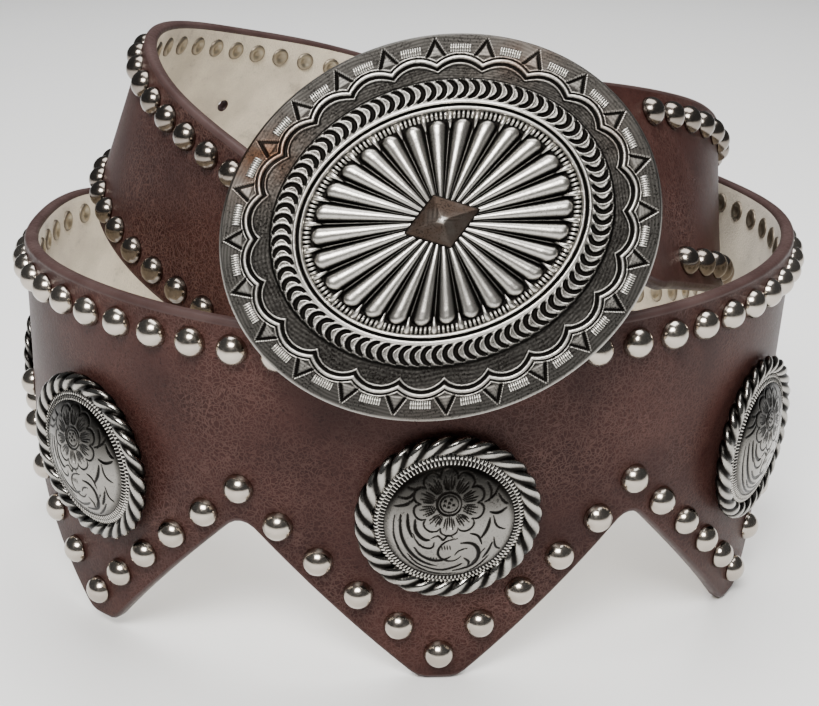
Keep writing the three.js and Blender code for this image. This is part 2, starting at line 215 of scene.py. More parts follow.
def basis(x: np.ndarray, y: np.ndarray, z: np.ndarray, origin: np.ndarray) -> Matrix:
    """Matrix of three directions and an origin, in millimetres."""
    rows = [[x[i], y[i], z[i], origin[i]] for i in range(3)] + [[0, 0, 0, 1]]
    return Matrix([[float(v) for v in row] for row in rows])


class Skin:
    """Collects grids of points into one mesh, with marks that its finishes read."""

    def __init__(self) -> None:
        """Starts an empty skin."""
        self.points: list[np.ndarray] = []
        self.faces: list[tuple[int, ...]] = []
        self.slots: list[int] = []
        self.marks: dict[str, list[np.ndarray]] = {"oxide_and_shade": [], "copper": []}
        self.count = 0

    def grid(self, points: np.ndarray, around: bool = False, closed: bool = False,
             slot: int | np.ndarray = 0, oxide_and_shade: np.ndarray | float = 0.0,
             copper: np.ndarray | float = 0.0, flip: bool = False) -> None:
        """Adds a grid of quads.

        Args:
            points: rows by columns by three.
            around: whether the last column joins the first.
            closed: whether the last row joins the first.
            slot: material slot, for all faces or for each column of faces.
            oxide_and_shade: how dark each point is with old tarnish and with painted shade, from 0 to 1.
            copper: how coppery each point is, from 0 to 1.
            flip: turns the faces over.
        """
        rows, cols, _ = points.shape
        index = np.arange(rows * cols).reshape(rows, cols) + self.count
        right = np.roll(index, -1, axis=1) if around else index[:, 1:]
        left = index if around else index[:, :-1]
        below_left = np.roll(left, -1, axis=0) if closed else left[1:]
        below_right = np.roll(right, -1, axis=0) if closed else right[1:]
        if not closed:
            left, right = left[:-1], right[:-1]
        quads = np.stack([left, right, below_right, below_left], axis=-1)
        if flip:
            quads = quads[..., ::-1]
        slots = np.broadcast_to(np.asarray(slot), quads.shape[:2])
        self.faces.extend(map(tuple, quads.reshape(-1, 4).tolist()))
        self.slots.extend(slots.reshape(-1).tolist())
        self._take(points.reshape(-1, 3), np.broadcast_to(oxide_and_shade, (rows, cols)),
                   np.broadcast_to(copper, (rows, cols)))

    def cap(self, ring: np.ndarray, slot: int = 0, oxide_and_shade: float = 0.0, flip: bool = False) -> None:
        """Adds one flat face over a ring of points.

        Args:
            ring: the face's corners in order.
            slot: material slot.
            oxide_and_shade: how dark the face is with old tarnish and with painted shade, from 0 to 1.
            flip: turns the face over.
        """
        face = tuple(range(self.count, self.count + len(ring)))
        self.faces.append(face[::-1] if flip else face)
        self.slots.append(slot)
        self._take(ring, np.full(len(ring), oxide_and_shade), np.zeros(len(ring)))

    def _take(self, points: np.ndarray, oxide_and_shade: np.ndarray, copper: np.ndarray) -> None:
        """Keeps points and their marks.

        Args:
            points: rows of three.
            oxide_and_shade: each point's tarnish and painted shade.
            copper: each point's copper.
        """
        self.points.append(points)
        self.marks["oxide_and_shade"].append(np.asarray(oxide_and_shade, float).reshape(-1))
        self.marks["copper"].append(np.asarray(copper, float).reshape(-1))
        self.count += len(points)

    def relief(self, x: np.ndarray, y: np.ndarray, height: np.ndarray,
               oxide_and_shade: np.ndarray | float, copper: np.ndarray | float = 0.0) -> None:
        """Adds a surface that runs all round and looks along Z.

        Args:
            x: X of each point, rows from the outside in.
            y: Y of each point.
            height: Z of each point.
            oxide_and_shade: each point's tarnish and painted shade.
            copper: each point's copper.
        """
        self.grid(np.stack([x, y, height], axis=-1), around=True, oxide_and_shade=oxide_and_shade, copper=copper)

    def build(self, name: str, finishes: list[bpy.types.Material],
              place: Matrix | None = None) -> bpy.types.Object:
        """Makes the mesh object.

        Args:
            name: the piece's name.
            finishes: materials in the order of the slots.
            place: where it goes in the row frame, in millimetres.

        Returns:
            The new object.
        """
        points = np.concatenate(self.points)
        if place is not None:
            m = np.array(place)
            points = points @ m[:3, :3].T + m[:3, 3]
        mesh = bpy.data.meshes.new(name)
        mesh.from_pydata((points * MM).tolist(), [], self.faces)
        for finish in finishes:
            mesh.materials.append(finish)
        mesh.polygons.foreach_set("material_index", self.slots)
        mesh.polygons.foreach_set("use_smooth", [True] * len(self.faces))
        for mark, parts in self.marks.items():
            layer = mesh.attributes.new(mark, "FLOAT", "POINT")
            layer.data.foreach_set("value", np.concatenate(parts).astype(np.float32))
        mesh.update()
        obj = bpy.data.objects.new(name, mesh)
        bpy.context.scene.collection.objects.link(obj)
        return obj


def ring_of(radius: float | np.ndarray, count: int) -> tuple[np.ndarray, np.ndarray]:
    """X and Y of a circle's points, anticlockwise."""
    angle = 2 * np.pi * np.arange(count) / count
    return radius * np.cos(angle), radius * np.sin(angle)


def polar_grid(rows: np.ndarray, columns: int) -> tuple[np.ndarray, np.ndarray]:
    """Radius and angle of each point of a round grid."""
    angle = 2 * np.pi * np.arange(columns) / columns
    return np.meshgrid(rows, angle, indexing="ij")


def innermost(x: np.ndarray, y: np.ndarray, height: np.ndarray) -> np.ndarray:
    """The last row of a surface, as points."""
    return np.stack([x[-1], y[-1], height[-1]], axis=-1)


def lathe(profile: list[tuple[float, float]], sides: int) -> np.ndarray:
    """Profile turned about Z.

    Args:
        profile: (radius, height) of each ring.
        sides: points in each ring.

    Returns:
        Rings by sides by three.
    """
    x, y = ring_of(1.0, sides)
    rows = [np.stack([x * r, y * r, np.full(sides, z)], axis=-1) for r, z in profile]
    return np.stack(rows)


# Finishes


class Nodes:
    """Short ways to add and join the nodes of one tree."""

    def __init__(self, tree: bpy.types.NodeTree) -> None:
        """Keeps the tree."""
        self.tree = tree

    def add(self, kind: str, inputs: dict | None = None, **settings: object) -> bpy.types.Node:
        """Adds a node, sets its properties, and joins or sets its inputs.

        Args:
            kind: the node's type.
            inputs: what each input takes, another node's socket or a value.
            settings: the node's own properties.

        Returns:
            The node.
        """
        node = self.tree.nodes.new(kind)
        for key, value in settings.items():
            setattr(node, key, value)
        for key, value in (inputs or {}).items():
            socket = node.inputs[key]
            if isinstance(value, bpy.types.NodeSocket):
                self.tree.links.new(value, socket)
            else:
                socket.default_value = value
        return node

    def math(self, operation: str, a: object, b: object, clamp: bool = False) -> bpy.types.NodeSocket:
        """One Math node's result."""
        return self.add("ShaderNodeMath", {0: a, 1: b}, operation=operation, use_clamp=clamp).outputs[0]

    def mix(self, factor: object, a: object, b: object) -> bpy.types.NodeSocket:
        """Mixes two colours.

        Args:
            factor: how much of the second.
            a: the first colour.
            b: the second colour.

        Returns:
            The mixed colour.
        """
        node = self.add("ShaderNodeMix", data_type="RGBA")
        for socket, value in zip((node.inputs[0], node.inputs[6], node.inputs[7]), (factor, a, b)):
            if isinstance(value, bpy.types.NodeSocket):
                self.tree.links.new(value, socket)
            else:
                socket.default_value = value
        return node.outputs[2]

    def spread(self, value: object, low: float, high: float, to_low: float = 0.0,
               to_high: float = 1.0) -> bpy.types.NodeSocket:
        """Stretches a value's range to another, held at its ends.

        Args:
            value: what is stretched.
            low: where its range starts.
            high: where its range ends.
            to_low: what low becomes.
            to_high: what high becomes.

        Returns:
            The stretched value.
        """
        node = self.add("ShaderNodeMapRange", {"Value": value, "From Min": low, "From Max": high,
                                               "To Min": to_low, "To Max": to_high})
        return node.outputs[0]

    def noise(self, where: object, scale: float, detail: float,
              rough: float = 0.55) -> bpy.types.NodeSocket:
        """A noise texture's value.

        Args:
            where: coordinates.
            scale: how fine it is.
            detail: how many finer layers it has.
            rough: how strong those are.

        Returns:
            The value.
        """
        node = self.add("ShaderNodeTexNoise", {"Vector": where, "Scale": scale, "Detail": detail,
                                               "Roughness": rough})
        return node.outputs[0]

    def bump(self, height: object, strength: float, distance: float, shader: bpy.types.Node) -> None:
        """Raises fine relief on a shader.

        Args:
            height: the relief.
            strength: how strong it shows.
            distance: how high it is, in metres.
            shader: what it goes on.
        """
        node = self.add("ShaderNodeBump", {"Height": height, "Strength": strength, "Distance": distance})
        self.tree.links.new(node.outputs[0], shader.inputs["Normal"])


def group_of(name: str, inputs: dict[str, tuple[str, object]], outputs: dict[str, str]) -> tuple:
    """Starts a shader node group with named sockets.

    Args:
        name: the group's name.
        inputs: each input's socket kind and default.
        outputs: each output's socket kind.

    Returns:
        The tree, its helper, its input node and its output node.
    """
    tree = bpy.data.node_groups.new(name, "ShaderNodeTree")
    for key, (kind, value) in inputs.items():
        socket = tree.interface.new_socket(key, in_out="INPUT", socket_type=kind)
        socket.default_value = value
    for key, kind in outputs.items():
        tree.interface.new_socket(key, in_out="OUTPUT", socket_type=kind)
    nodes = Nodes(tree)
    return tree, nodes, nodes.add("NodeGroupInput"), nodes.add("NodeGroupOutput")


def grime_group() -> bpy.types.NodeTree:
    """Uneven mottling that the metals and the leather share.

    Returns:
        A group that puts out a mask and a fine height.
    """
    tree, n, given, out = group_of(
        "mottle", {"Coarse": ("NodeSocketFloat", 60.0), "Fine": ("NodeSocketFloat", 900.0)},
        {"Mask": "NodeSocketFloat", "Height": "NodeSocketFloat"})
    where = n.add("ShaderNodeTexCoord").outputs["Object"]
    coarse = n.add("ShaderNodeTexNoise", {"Vector": where, "Scale": given.outputs["Coarse"], "Detail": 4.0})
    fine = n.add("ShaderNodeTexNoise", {"Vector": where, "Scale": given.outputs["Fine"], "Detail": 3.0})
    mask = n.spread(coarse.outputs[0], 0.35, 0.68)
    tree.links.new(mask, out.inputs["Mask"])
    tree.links.new(fine.outputs[0], out.inputs["Height"])
    return tree


class Palette:
    """What the finishes share: the mottle effect and the start of a material."""

    def __init__(self) -> None:
        """Builds the shared effect."""
        self.mottle = grime_group()

    def start(self, name: str, coarse: float,
              fine: float) -> tuple[bpy.types.Material, Nodes, bpy.types.Node, bpy.types.Node]:
        """Starts a material.

        Args:
            name: the material's name.
            coarse: how close its patches lie.
            fine: how close its finest marks lie.

        Returns:
            The material, its helper, its shader and the mottle effect placed in it.
        """
        material = bpy.data.materials.new(name)
        material.use_nodes = True
        material.node_tree.nodes.clear()
        n = Nodes(material.node_tree)
        shader = n.add("ShaderNodeBsdfPrincipled")
        n.add("ShaderNodeOutputMaterial", {"Surface": shader.outputs[0]})
        effect = n.add("ShaderNodeGroup", {"Coarse": coarse, "Fine": fine}, node_tree=self.mottle)
        return material, n, shader, effect


@dataclass(frozen=True)
class SilverFinish:
    """Antique silver plate: bright on what stands proud, black tarnish in what lies deep; the same black also
    paints shade on the conchos.
    """

    name: str
    bright: Colour = (0.6, 0.575, 0.53, 1.0)
    # Black of the tarnish, also used for the painted shade on the conchos' domes and rope.
    tarnish_and_shade_black: Colour = (0.007, 0.0062, 0.0055, 1.0)
    copper: Colour = (0.2, 0.088, 0.04, 1.0)
    smoothness: float = 0.27
    dullness: float = 0.6
    depth: float = 2.2
    mottling: float = 0.35
    shows_copper: bool = True
    coarse: float = 170.0
    fine: float = 2600.0

    def build(self, palette: Palette) -> bpy.types.Material:
        """Builds the material.

        Args:
            palette: the effects that finishes share.

        Returns:
            The material.
        """
        material, n, shader, effect = palette.start(self.name, self.coarse, self.fine)
        dark = n.add("ShaderNodeAttribute", attribute_name="oxide_and_shade").outputs["Fac"]
        mask = effect.outputs["Mask"]
        speck = n.spread(effect.outputs["Height"], 0.52, 0.72)
        # Darkness from the oxide mark (tarnish and painted shade) plus mottled wear.
        wear_and_shade = n.math("ADD", dark, n.math("MULTIPLY", n.math("MULTIPLY", mask, speck), self.mottling), True)
        metal = self.bright
        if self.shows_copper:
            warm = n.add("ShaderNodeAttribute", attribute_name="copper").outputs["Fac"]
            coppery = n.math("MULTIPLY", warm, n.spread(mask, 0.0, 0.6, 0.55, 1.0), True)
            metal = n.mix(coppery, self.bright, self.copper)
        clean = n.math("POWER", n.math("SUBTRACT", 1.0, wear_and_shade, True), self.depth)
        n.tree.links.new(n.mix(clean, self.tarnish_and_shade_black, metal), shader.inputs["Base Color"])
        shader.inputs["Metallic"].default_value = 1.0
        n.tree.links.new(n.spread(n.math("ADD", wear_and_shade, n.math("MULTIPLY", mask, 0.12)), 0.0, 1.0,
                                  self.smoothness, self.dullness), shader.inputs["Roughness"])
        n.bump(effect.outputs["Height"], 0.12, 0.0002, shader)
        return material


@dataclass(frozen=True)
class NickelFinish:
    """Polished nickel of the studs and their clenched backs."""

    name: str
    colour: Colour = (0.5, 0.45, 0.39, 1.0)
    shade: Colour = (0.42, 0.36, 0.31, 1.0)
    # Dark colour that the oxide mark mixes in: tarnish, and painted shade on the upper straps' studs and at
    # the feet of the backs.
    tarnish_and_shade: Colour = (0.06, 0.042, 0.034, 1.0)
    smoothness: float = 0.15
    dulling: float = 0.12
    coarse: float = 140.0
    fine: float = 1500.0

    def build(self, palette: Palette) -> bpy.types.Material:
        """Builds the material.

        Args:
            palette: the effects that finishes share.

        Returns:
            The material.
        """
        material, n, shader, effect = palette.start(self.name, self.coarse, self.fine)
        dark = n.add("ShaderNodeAttribute", attribute_name="oxide_and_shade").outputs["Fac"]
        tinted = n.mix(n.math("MULTIPLY", effect.outputs["Mask"], 0.3), self.colour, self.shade)
        n.tree.links.new(n.mix(dark, tinted, self.tarnish_and_shade), shader.inputs["Base Color"])
        n.tree.links.new(n.spread(effect.outputs["Height"], 0.3, 0.8, self.smoothness,
                                  self.smoothness + self.dulling), shader.inputs["Roughness"])
        shader.inputs["Metallic"].default_value = 1.0
        return material


@dataclass(frozen=True)
class GrainFinish:
    """The strap's face: dark reddish brown leather with a fine net of pale creases."""

    name: str = "leather_grain"
    dark: Colour = (0.0235, 0.0088, 0.0075, 1.0)
    mid: Colour = (0.044, 0.0175, 0.0145, 1.0)
    crease: Colour = (0.2, 0.115, 0.095, 1.0)
    pore: Colour = (0.012, 0.0045, 0.004, 1.0)
    shine: float = 0.1
    coarse: float = 38.0
    fine: float = 1400.0

    def build(self, palette: Palette) -> bpy.types.Material:
        """Builds the material.

        Args:
            palette: the effects that finishes share.

        Returns:
            The material.
        """
        material, n, shader, effect = palette.start(self.name, self.coarse, self.fine)
        where = n.add("ShaderNodeTexCoord").outputs["Object"]
        wander = n.add("ShaderNodeTexNoise", {"Vector": where, "Scale": 260.0, "Detail": 2.0})
        shifted = n.add("ShaderNodeVectorMath", {0: wander.outputs["Color"], "Scale": 0.004},
                        operation="SCALE").outputs[0]
        bent = n.add("ShaderNodeVectorMath", {0: shifted, 1: where}, operation="ADD").outputs[0]
        cells = n.add("ShaderNodeTexVoronoi", {"Vector": bent, "Scale": 980.0, "Randomness": 1.0},
                      feature="DISTANCE_TO_EDGE").outputs["Distance"]
        big = n.add("ShaderNodeTexVoronoi", {"Vector": bent, "Scale": 420.0, "Randomness": 1.0},
                    feature="DISTANCE_TO_EDGE").outputs["Distance"]
        line = n.spread(cells, 0.0, 0.1, 1.0, 0.0)
        fold = n.spread(big, 0.0, 0.045, 1.0, 0.0)
        pores = n.spread(n.noise(where, 1500.0, 2.0), 0.56, 0.7)
        patch = n.spread(n.noise(where, 30.0, 3.0), 0.36, 0.66)
        tone = n.mix(effect.outputs["Mask"], self.dark, self.mid)
        lines = n.math("MULTIPLY", n.math("MAXIMUM", line, fold), n.spread(patch, 0.0, 1.0, 0.05, 0.34))
        pitted = n.mix(n.math("MULTIPLY", pores, 0.7), tone, self.pore)
        n.tree.links.new(n.mix(lines, pitted, self.crease), shader.inputs["Base Color"])
        n.tree.links.new(n.spread(n.math("ADD", lines, n.math("MULTIPLY", effect.outputs["Height"], 0.5)),
                                  0.1, 1.0, 0.36, 0.62), shader.inputs["Roughness"])
        height = n.math("SUBTRACT", n.math("MULTIPLY", effect.outputs["Height"], 0.35),
                        n.math("MULTIPLY", lines, 0.9))
        n.bump(height, 0.42, 0.0003, shader)
        shader.inputs["Specular IOR Level"].default_value = self.shine
        return material


@dataclass(frozen=True)
class EdgeFinish:
    """The strap's cut edge, rounded and burnished to a smooth purple brown."""

    name: str = "leather_edge"
    dark: Colour = (0.042, 0.0235, 0.0215, 1.0)
    light: Colour = (0.062, 0.038, 0.035, 1.0)
    shine: float = 0.16
    coarse: float = 90.0
    fine: float = 1100.0

    def build(self, palette: Palette) -> bpy.types.Material:
        """Builds the material.

        Args:
            palette: the effects that finishes share.

        Returns:
            The material.
        """
        material, n, shader, effect = palette.start(self.name, self.coarse, self.fine)
        n.tree.links.new(n.mix(effect.outputs["Mask"], self.dark, self.light), shader.inputs["Base Color"])
        n.tree.links.new(n.spread(effect.outputs["Height"], 0.3, 0.8, 0.34, 0.55), shader.inputs["Roughness"])
        shader.inputs["Specular IOR Level"].default_value = self.shine
        n.bump(effect.outputs["Height"], 0.15, 0.0002, shader)
        return material


@dataclass(frozen=True)
class SuedeFinish:
    """The strap's flesh side: pale, fibrous and dull, with darker handling marks."""

    name: str = "leather_flesh"
    pale: Colour = (0.76, 0.67, 0.52, 1.0)
    dull: Colour = (0.52, 0.45, 0.35, 1.0)
    mark: Colour = (0.2, 0.165, 0.13, 1.0)
    coarse: float = 75.0
    fine: float = 1700.0

    def build(self, palette: Palette) -> bpy.types.Material:
        """Builds the material.

        Args:
            palette: the effects that finishes share.

        Returns:
            The material.
        """
        material, n, shader, effect = palette.start(self.name, self.coarse, self.fine)
        where = n.add("ShaderNodeTexCoord").outputs["Object"]
        tone = n.mix(effect.outputs["Mask"], self.pale, self.dull)
        fibre = n.spread(effect.outputs["Height"], 0.4, 0.72)
        marks = n.spread(n.noise(where, 150.0, 6.0, 0.75), 0.58, 0.72)
        fibrous = n.mix(n.math("MULTIPLY", fibre, 0.35), tone, self.dull)
        handled = n.mix(n.math("MULTIPLY", marks, 0.5), fibrous, self.mark)
        n.tree.links.new(handled, shader.inputs["Base Color"])
        shader.inputs["Roughness"].default_value = 0.92
        shader.inputs["Sheen Weight"].default_value = 0.25
        shader.inputs["Sheen Roughness"].default_value = 0.6
        n.bump(effect.outputs["Height"], 0.55, 0.0005, shader)
        return material


@dataclass(frozen=True)
class FloorFinish:
    """Plain pale floor."""

    name: str = "floor"
    pale: Colour = (0.93, 0.93, 0.92, 1.0)
    shade: Colour = (0.86, 0.86, 0.85, 1.0)
    coarse: float = 3.0
    fine: float = 900.0

    def build(self, palette: Palette) -> bpy.types.Material:
        """Builds the material.

        Args:
            palette: the effects that finishes share.

        Returns:
            The material.
        """
        material, n, shader, effect = palette.start(self.name, self.coarse, self.fine)
        faint = n.math("MULTIPLY", effect.outputs["Mask"], 0.1)
        n.tree.links.new(n.mix(faint, self.pale, self.shade), shader.inputs["Base Color"])
        shader.inputs["Roughness"].default_value = 0.6
        return material


# Strap


@dataclass
class Strap:
    """The leather strap with its zigzag panel, studs, their backs, holes and rolled end."""

    coil: Coil
    tip_count: int = 5
    tip_pitch: float = 92.0
    tip_flat: float = 9.0
    notch_flat: float = 4.0
    corner_round: float = 1.6
    free_end_width: float = 24.0
    free_end_taper: float = 26.0
    buckle_end_width: float = 42.0
    buckle_end_taper: float = 20.0
    buckle_end_straight: float = 8.0
    middle_tip_turn: float = 355.5
    bevel: float = 1.25
    face_columns: int = 34
    edge_points: int = 6
    station_gap: float = 1.6
    stud_diameter: float = 6.4
    head_diameter: float = 7.3
    stud_height: float = 3.4
    stud_spacing: float = 9.9
    stud_inset: float = 6.6
    studs_per_tip: int = 10
    # Painted shade: studs off the panel, on the upward-facing upper straps, are darkened to stand in for the
    # dark surround that they reflect; studs on the panel get only a little tarnish.
    aged_on_panel: float = 0.06
    painted_shade_off_panel: float = 0.6
    stud_sides: int = 20
    back_diameter: float = 5.8
    hole_diameter: float = 4.0
    hole_spacing: float = 32.0
    hole_count: int = 5
    first_hole: float = 105.0
    bar_diameter: float = 4.0
    gap: float = 0.3
    row_offset: float = 0.65
    bare_studs: int = 6
    tip_stud_lift: float = 1.2
    pucker: float = 0.15
    pucker_ring: float = 0.53
    pucker_width: float = 1.3
    pucker_reach: float = 9.0
    wave: float = 0.12
    ripple: float = 0.08
    wave_top: float = 0.1
    wave_share: float = 0.6
    face_sink: float = 0.06
    hole_sides: int = 28
    eye_sides: int = 40
    eye_round: float = 0.9
    back_sides: int = 16

    def __post_init__(self) -> None:
        """Finds where the zigzag panel lies along the strap."""
        self.middle_tip = float(np.interp(self.middle_tip_turn, self.coil.fine, self.coil.lengths))
        half = self.tip_count * self.tip_pitch / 2
        self.start, self.end = self.middle_tip - half, self.middle_tip + half
        self.eye_radius = self.bar_diameter / 2 + self.gap + self.coil.leather

    def from_tip(self, along: np.ndarray) -> np.ndarray:
        """Distance along the strap to the nearest tip's middle."""
        tip = np.round((along - self.start) / self.tip_pitch - 0.5) + 0.5
        return np.abs(along - self.start - tip * self.tip_pitch)

    def sharp_edge(self, along: np.ndarray) -> np.ndarray:
        """Lower edge over the straight edge's line, with sharp corners.

        Args:
            along: distances from the free end.

        Returns:
            The edge's heights, below 0 on the tips.
        """
        run = self.tip_pitch / 2 - self.tip_flat / 2 - self.notch_flat / 2
        up = np.clip((self.from_tip(along) - self.tip_flat / 2) / run, 0, 1)
        on_panel = (along > self.start) & (along < self.end)
        return np.where(on_panel, -self.coil.tip_drop * (1 - up), 0.0)

    def lower_edge(self, along: np.ndarray) -> np.ndarray:
        """Lower edge with its corners a little rounded."""
        offsets = np.linspace(-self.corner_round, self.corner_round, 7)
        return np.mean([self.sharp_edge(along + d) for d in offsets], axis=0)

    def end_cut(self, along: np.ndarray) -> np.ndarray:
        """How much narrower the strap is on each side near its two ends.

        Args:
            along: distances from the free end.

        Returns:
            What is cut from each side there.
        """
        to_free = np.clip(1 - along / self.free_end_taper, 0, None)
        straight = np.clip(self.coil.length - self.buckle_end_straight - along, 0, None)
        to_buckle = smooth(0, 1, np.clip(1 - straight / self.buckle_end_taper, 0, None))
        width = self.coil.width
        return ((width - self.free_end_width) * to_free + (width - self.buckle_end_width) * to_buckle) / 2

    def stud_places(self) -> np.ndarray:
        """Places all studs.

        Returns:
            Rows of (along, width).
        """
        coil, places = self.coil, []
        first = self.free_end_taper + self.stud_inset
        last = coil.length - self.eye_radius - self.stud_diameter * self.bare_studs
        anchor = self.middle_tip + self.stud_spacing * self.row_offset
        back = math.floor((anchor - first) / self.stud_spacing)
        along = anchor - back * self.stud_spacing
        while along <= last:
            places.append((along, coil.width - self.stud_inset))
            if along < self.start - self.stud_diameter / 2 or along > self.end + self.stud_diameter / 2:
                places.append((along, self.stud_inset))
            along += self.stud_spacing
        run = self.tip_pitch - self.tip_flat - self.notch_flat
        slope = math.hypot(coil.tip_drop, run / 2) * 2 / run
        over_notch, over_tip = self.stud_inset * slope, self.stud_inset + self.tip_stud_lift
        half = self.studs_per_tip // 2
        for k in range(1 - half * self.tip_count, half * self.tip_count):
            along = self.middle_tip + k * self.tip_pitch / self.studs_per_tip
            share = float(self.from_tip(np.array(along))) / (self.tip_pitch / 2)
            places.append((along, (over_tip - coil.tip_drop) * (1 - share) + over_notch * share))
        return np.array(places)

    def stations(self) -> np.ndarray:
        """Spaces the cross-sections, with one at each corner of the outline.

        Returns:
            Their distances from the free end.
        """
        corners = [0.0, self.free_end_taper, self.start, self.end, self.coil.length]
        for i in range(self.tip_count):
            tip = self.start + (i + 0.5) * self.tip_pitch
            corners += [tip - self.tip_flat / 2, tip + self.tip_flat / 2, tip - self.tip_pitch / 2,
                        tip + self.tip_pitch / 2]
        corners = sorted(set(round(c, 6) for c in corners))
        parts = [np.linspace(a, b, max(2, round((b - a) / self.station_gap) + 1))[:-1]
                 for a, b in zip(corners, corners[1:])]
        return np.concatenate(parts + [[self.coil.length]])

    def puckers(self, along: np.ndarray, width: np.ndarray) -> np.ndarray:
        """How far the leather's face sinks round the studs.

        Args:
            along: distances from the free end.
            width: heights over the straight lower edge.

        Returns:
            The depth of the puckers there.
        """
        sink = np.zeros(along.shape)
        for s, w in self.stud_places():
            near = np.abs(along[:, 0] - s) < self.pucker_reach
            r = np.hypot(along[near] - s, width[near] - w)
            from_ring = (r - self.head_diameter * self.pucker_ring) / self.pucker_width
            sink[near] += self.pucker * np.exp(-from_ring ** 2)
        return sink

    def waves(self, along: np.ndarray, width: np.ndarray) -> np.ndarray:
        """Slow unevenness of the leather's face.

        Args:
            along: distances from the free end.
            width: heights over the straight lower edge.

        Returns:
            How far the face stands out there.
        """
        slow = self.wave * np.sin(along / 23.0 + width / 19.0)
        quick = self.ripple * np.sin(along / 9.0 - width / 13.0)
        return np.minimum(slow + quick, self.wave_top) * self.wave_share - self.face_sink

    def section(self, along: np.ndarray) -> tuple[np.ndarray, np.ndarray]:
        """The leather's cross-sections: its face, its rounded top edge, its back and its lower edge.

        Args:
            along: distances from the free end.

        Returns:
            Width and depth of each point, a row for each cross-section.
        """
        bevel, half = self.bevel, self.coil.leather / 2
        rest, count = half - bevel, len(along)
        low = self.lower_edge(along) + self.end_cut(along)
        top = self.coil.width - self.end_cut(along)
        share = np.linspace(0, 1, self.face_columns)
        face = low[:, None] + bevel + (top - low - 2 * bevel)[:, None] * share
        spread = np.broadcast_to(along[:, None], face.shape)
        outer = half - self.puckers(spread, face) + self.waves(spread, face)
        turn = np.linspace(0, np.pi / 2, self.edge_points)[1:]
        out, back = bevel * np.sin(turn), bevel * np.cos(turn)
        top_width = (top - bevel)[:, None] + np.concatenate([out, back])
        low_width = (low + bevel)[:, None] - np.concatenate([out, back[:-1]])
        top_depth = np.concatenate([rest + back, -rest - out])
        low_depth = np.concatenate([-rest - back, (rest + out)[:-1]])
        width = np.concatenate([face, top_width, face[:, ::-1][:, 1:], low_width], axis=1)
        depth = np.concatenate([outer, np.tile(top_depth, (count, 1)),
                                np.full((count, self.face_columns - 1), -half),
                                np.tile(low_depth, (count, 1))], axis=1)
        return width, depth

    def body(self, finishes: list[bpy.types.Material]) -> bpy.types.Object:
        """Builds the leather with its holes.

        Args:
            finishes: grain, flesh and edge.

        Returns:
            The strap.
        """
        along = self.stations()
        width, depth = self.section(along)
        points = self.coil.point(np.broadcast_to(along[:, None], width.shape), width, depth)
        edge = [Side.EDGE.value] * (2 * (self.edge_points - 1))
        flat = self.face_columns - 1
        slots = np.array([Side.GRAIN.value] * flat + edge + [Side.FLESH.value] * flat + edge)
        skin = Skin()
        skin.grid(points, around=True, slot=slots)
        skin.cap(points[0], Side.EDGE.value)
        skin.cap(points[-1], Side.EDGE.value, flip=True)
        strap = skin.build("strap_leather", finishes)
        self.punch(strap, finishes)
        return strap

    def punch(self, strap: bpy.types.Object, finishes: list[bpy.types.Material]) -> None:
        """Cuts the row of punched holes through the leather.

        Args:
            strap: the leather.
            finishes: its finishes.
        """
        r, through = self.hole_diameter / 2, self.coil.leather
        cutter = Skin()
        for i in range(self.hole_count):
            m = np.array(self.coil.place(self.first_hole + i * self.hole_spacing, self.coil.width / 2, 0))
            tube = lathe([(r, -through), (r, through)], self.hole_sides) @ m[:3, :3].T + m[:3, 3]
            cutter.grid(tube, around=True, slot=Side.EDGE.value)
            cutter.cap(tube[0], Side.EDGE.value, flip=True)
            cutter.cap(tube[-1], Side.EDGE.value)
        tool = cutter.build("hole_cutter", finishes)
        cut = strap.modifiers.new("holes", "BOOLEAN")
        cut.operation, cut.object, cut.solver = "DIFFERENCE", tool, "EXACT"
        graph = bpy.context.evaluated_depsgraph_get()
        mesh = bpy.data.meshes.new_from_object(strap.evaluated_get(graph), preserve_all_data_layers=True,
                                               depsgraph=graph)
        strap.modifiers.clear()
        strap.data = mesh
        bpy.data.objects.remove(tool)

    def eye(self, finish: bpy.types.Material) -> bpy.types.Object:
        """Builds the strap's end, rolled round the buckle's bar.

        Args:
            finish: the burnished edge.

        Returns:
            The rolled end.
        """
        outer, inner = self.eye_radius, self.bar_diameter / 2 + self.gap
        half, b = self.buckle_end_width / 2, self.eye_round
        profile = [(outer, -half + b), (outer, half - b), (outer - b * 0.3, half - b * 0.3),
                   (outer - b, half), (inner + b * 0.5, half), (inner, half - b * 0.5),
                   (inner, -half + b * 0.5), (inner + b * 0.5, -half), (outer - b, -half),
                   (outer - b * 0.3, -half + b * 0.3)]
        skin = Skin()
        skin.grid(lathe(profile, self.eye_sides), around=True, closed=True)
        end = self.coil.place(self.coil.length, self.coil.width / 2, 0)
        return skin.build("strap_rolled_end", [finish], end @ Matrix.Rotation(-math.pi / 2, 4, "X"))

    def studs(self, finish: bpy.types.Material) -> bpy.types.Object:
        """Builds every round stud head.

        Args:
            finish: the nickel.

        Returns:
            All heads as one mesh.
        """
        r, h = self.head_diameter / 2, self.stud_height
        arc = [(r * math.cos(t), h * math.sin(t)) for t in np.radians([4, 18, 33, 48, 62, 75, 85])]
        head = lathe([(r * 0.86, -0.5), (r * 0.995, -0.18), *arc], self.stud_sides)
        skin = Skin()
        for along, width in self.stud_places():
            m = np.array(self.coil.place(along, width, self.coil.leather / 2 - 0.08))
            grid = head @ m[:3, :3].T + m[:3, 3]
            # Studs off the panel get painted shade, those on the panel a little tarnish.
            off_panel = along < self.start or along > self.end
            tarnish_and_shade = self.painted_shade_off_panel if off_panel else self.aged_on_panel
            skin.grid(grid, around=True, oxide_and_shade=tarnish_and_shade)
            skin.cap(grid[-1], oxide_and_shade=tarnish_and_shade)
        return skin.build("studs", [finish])

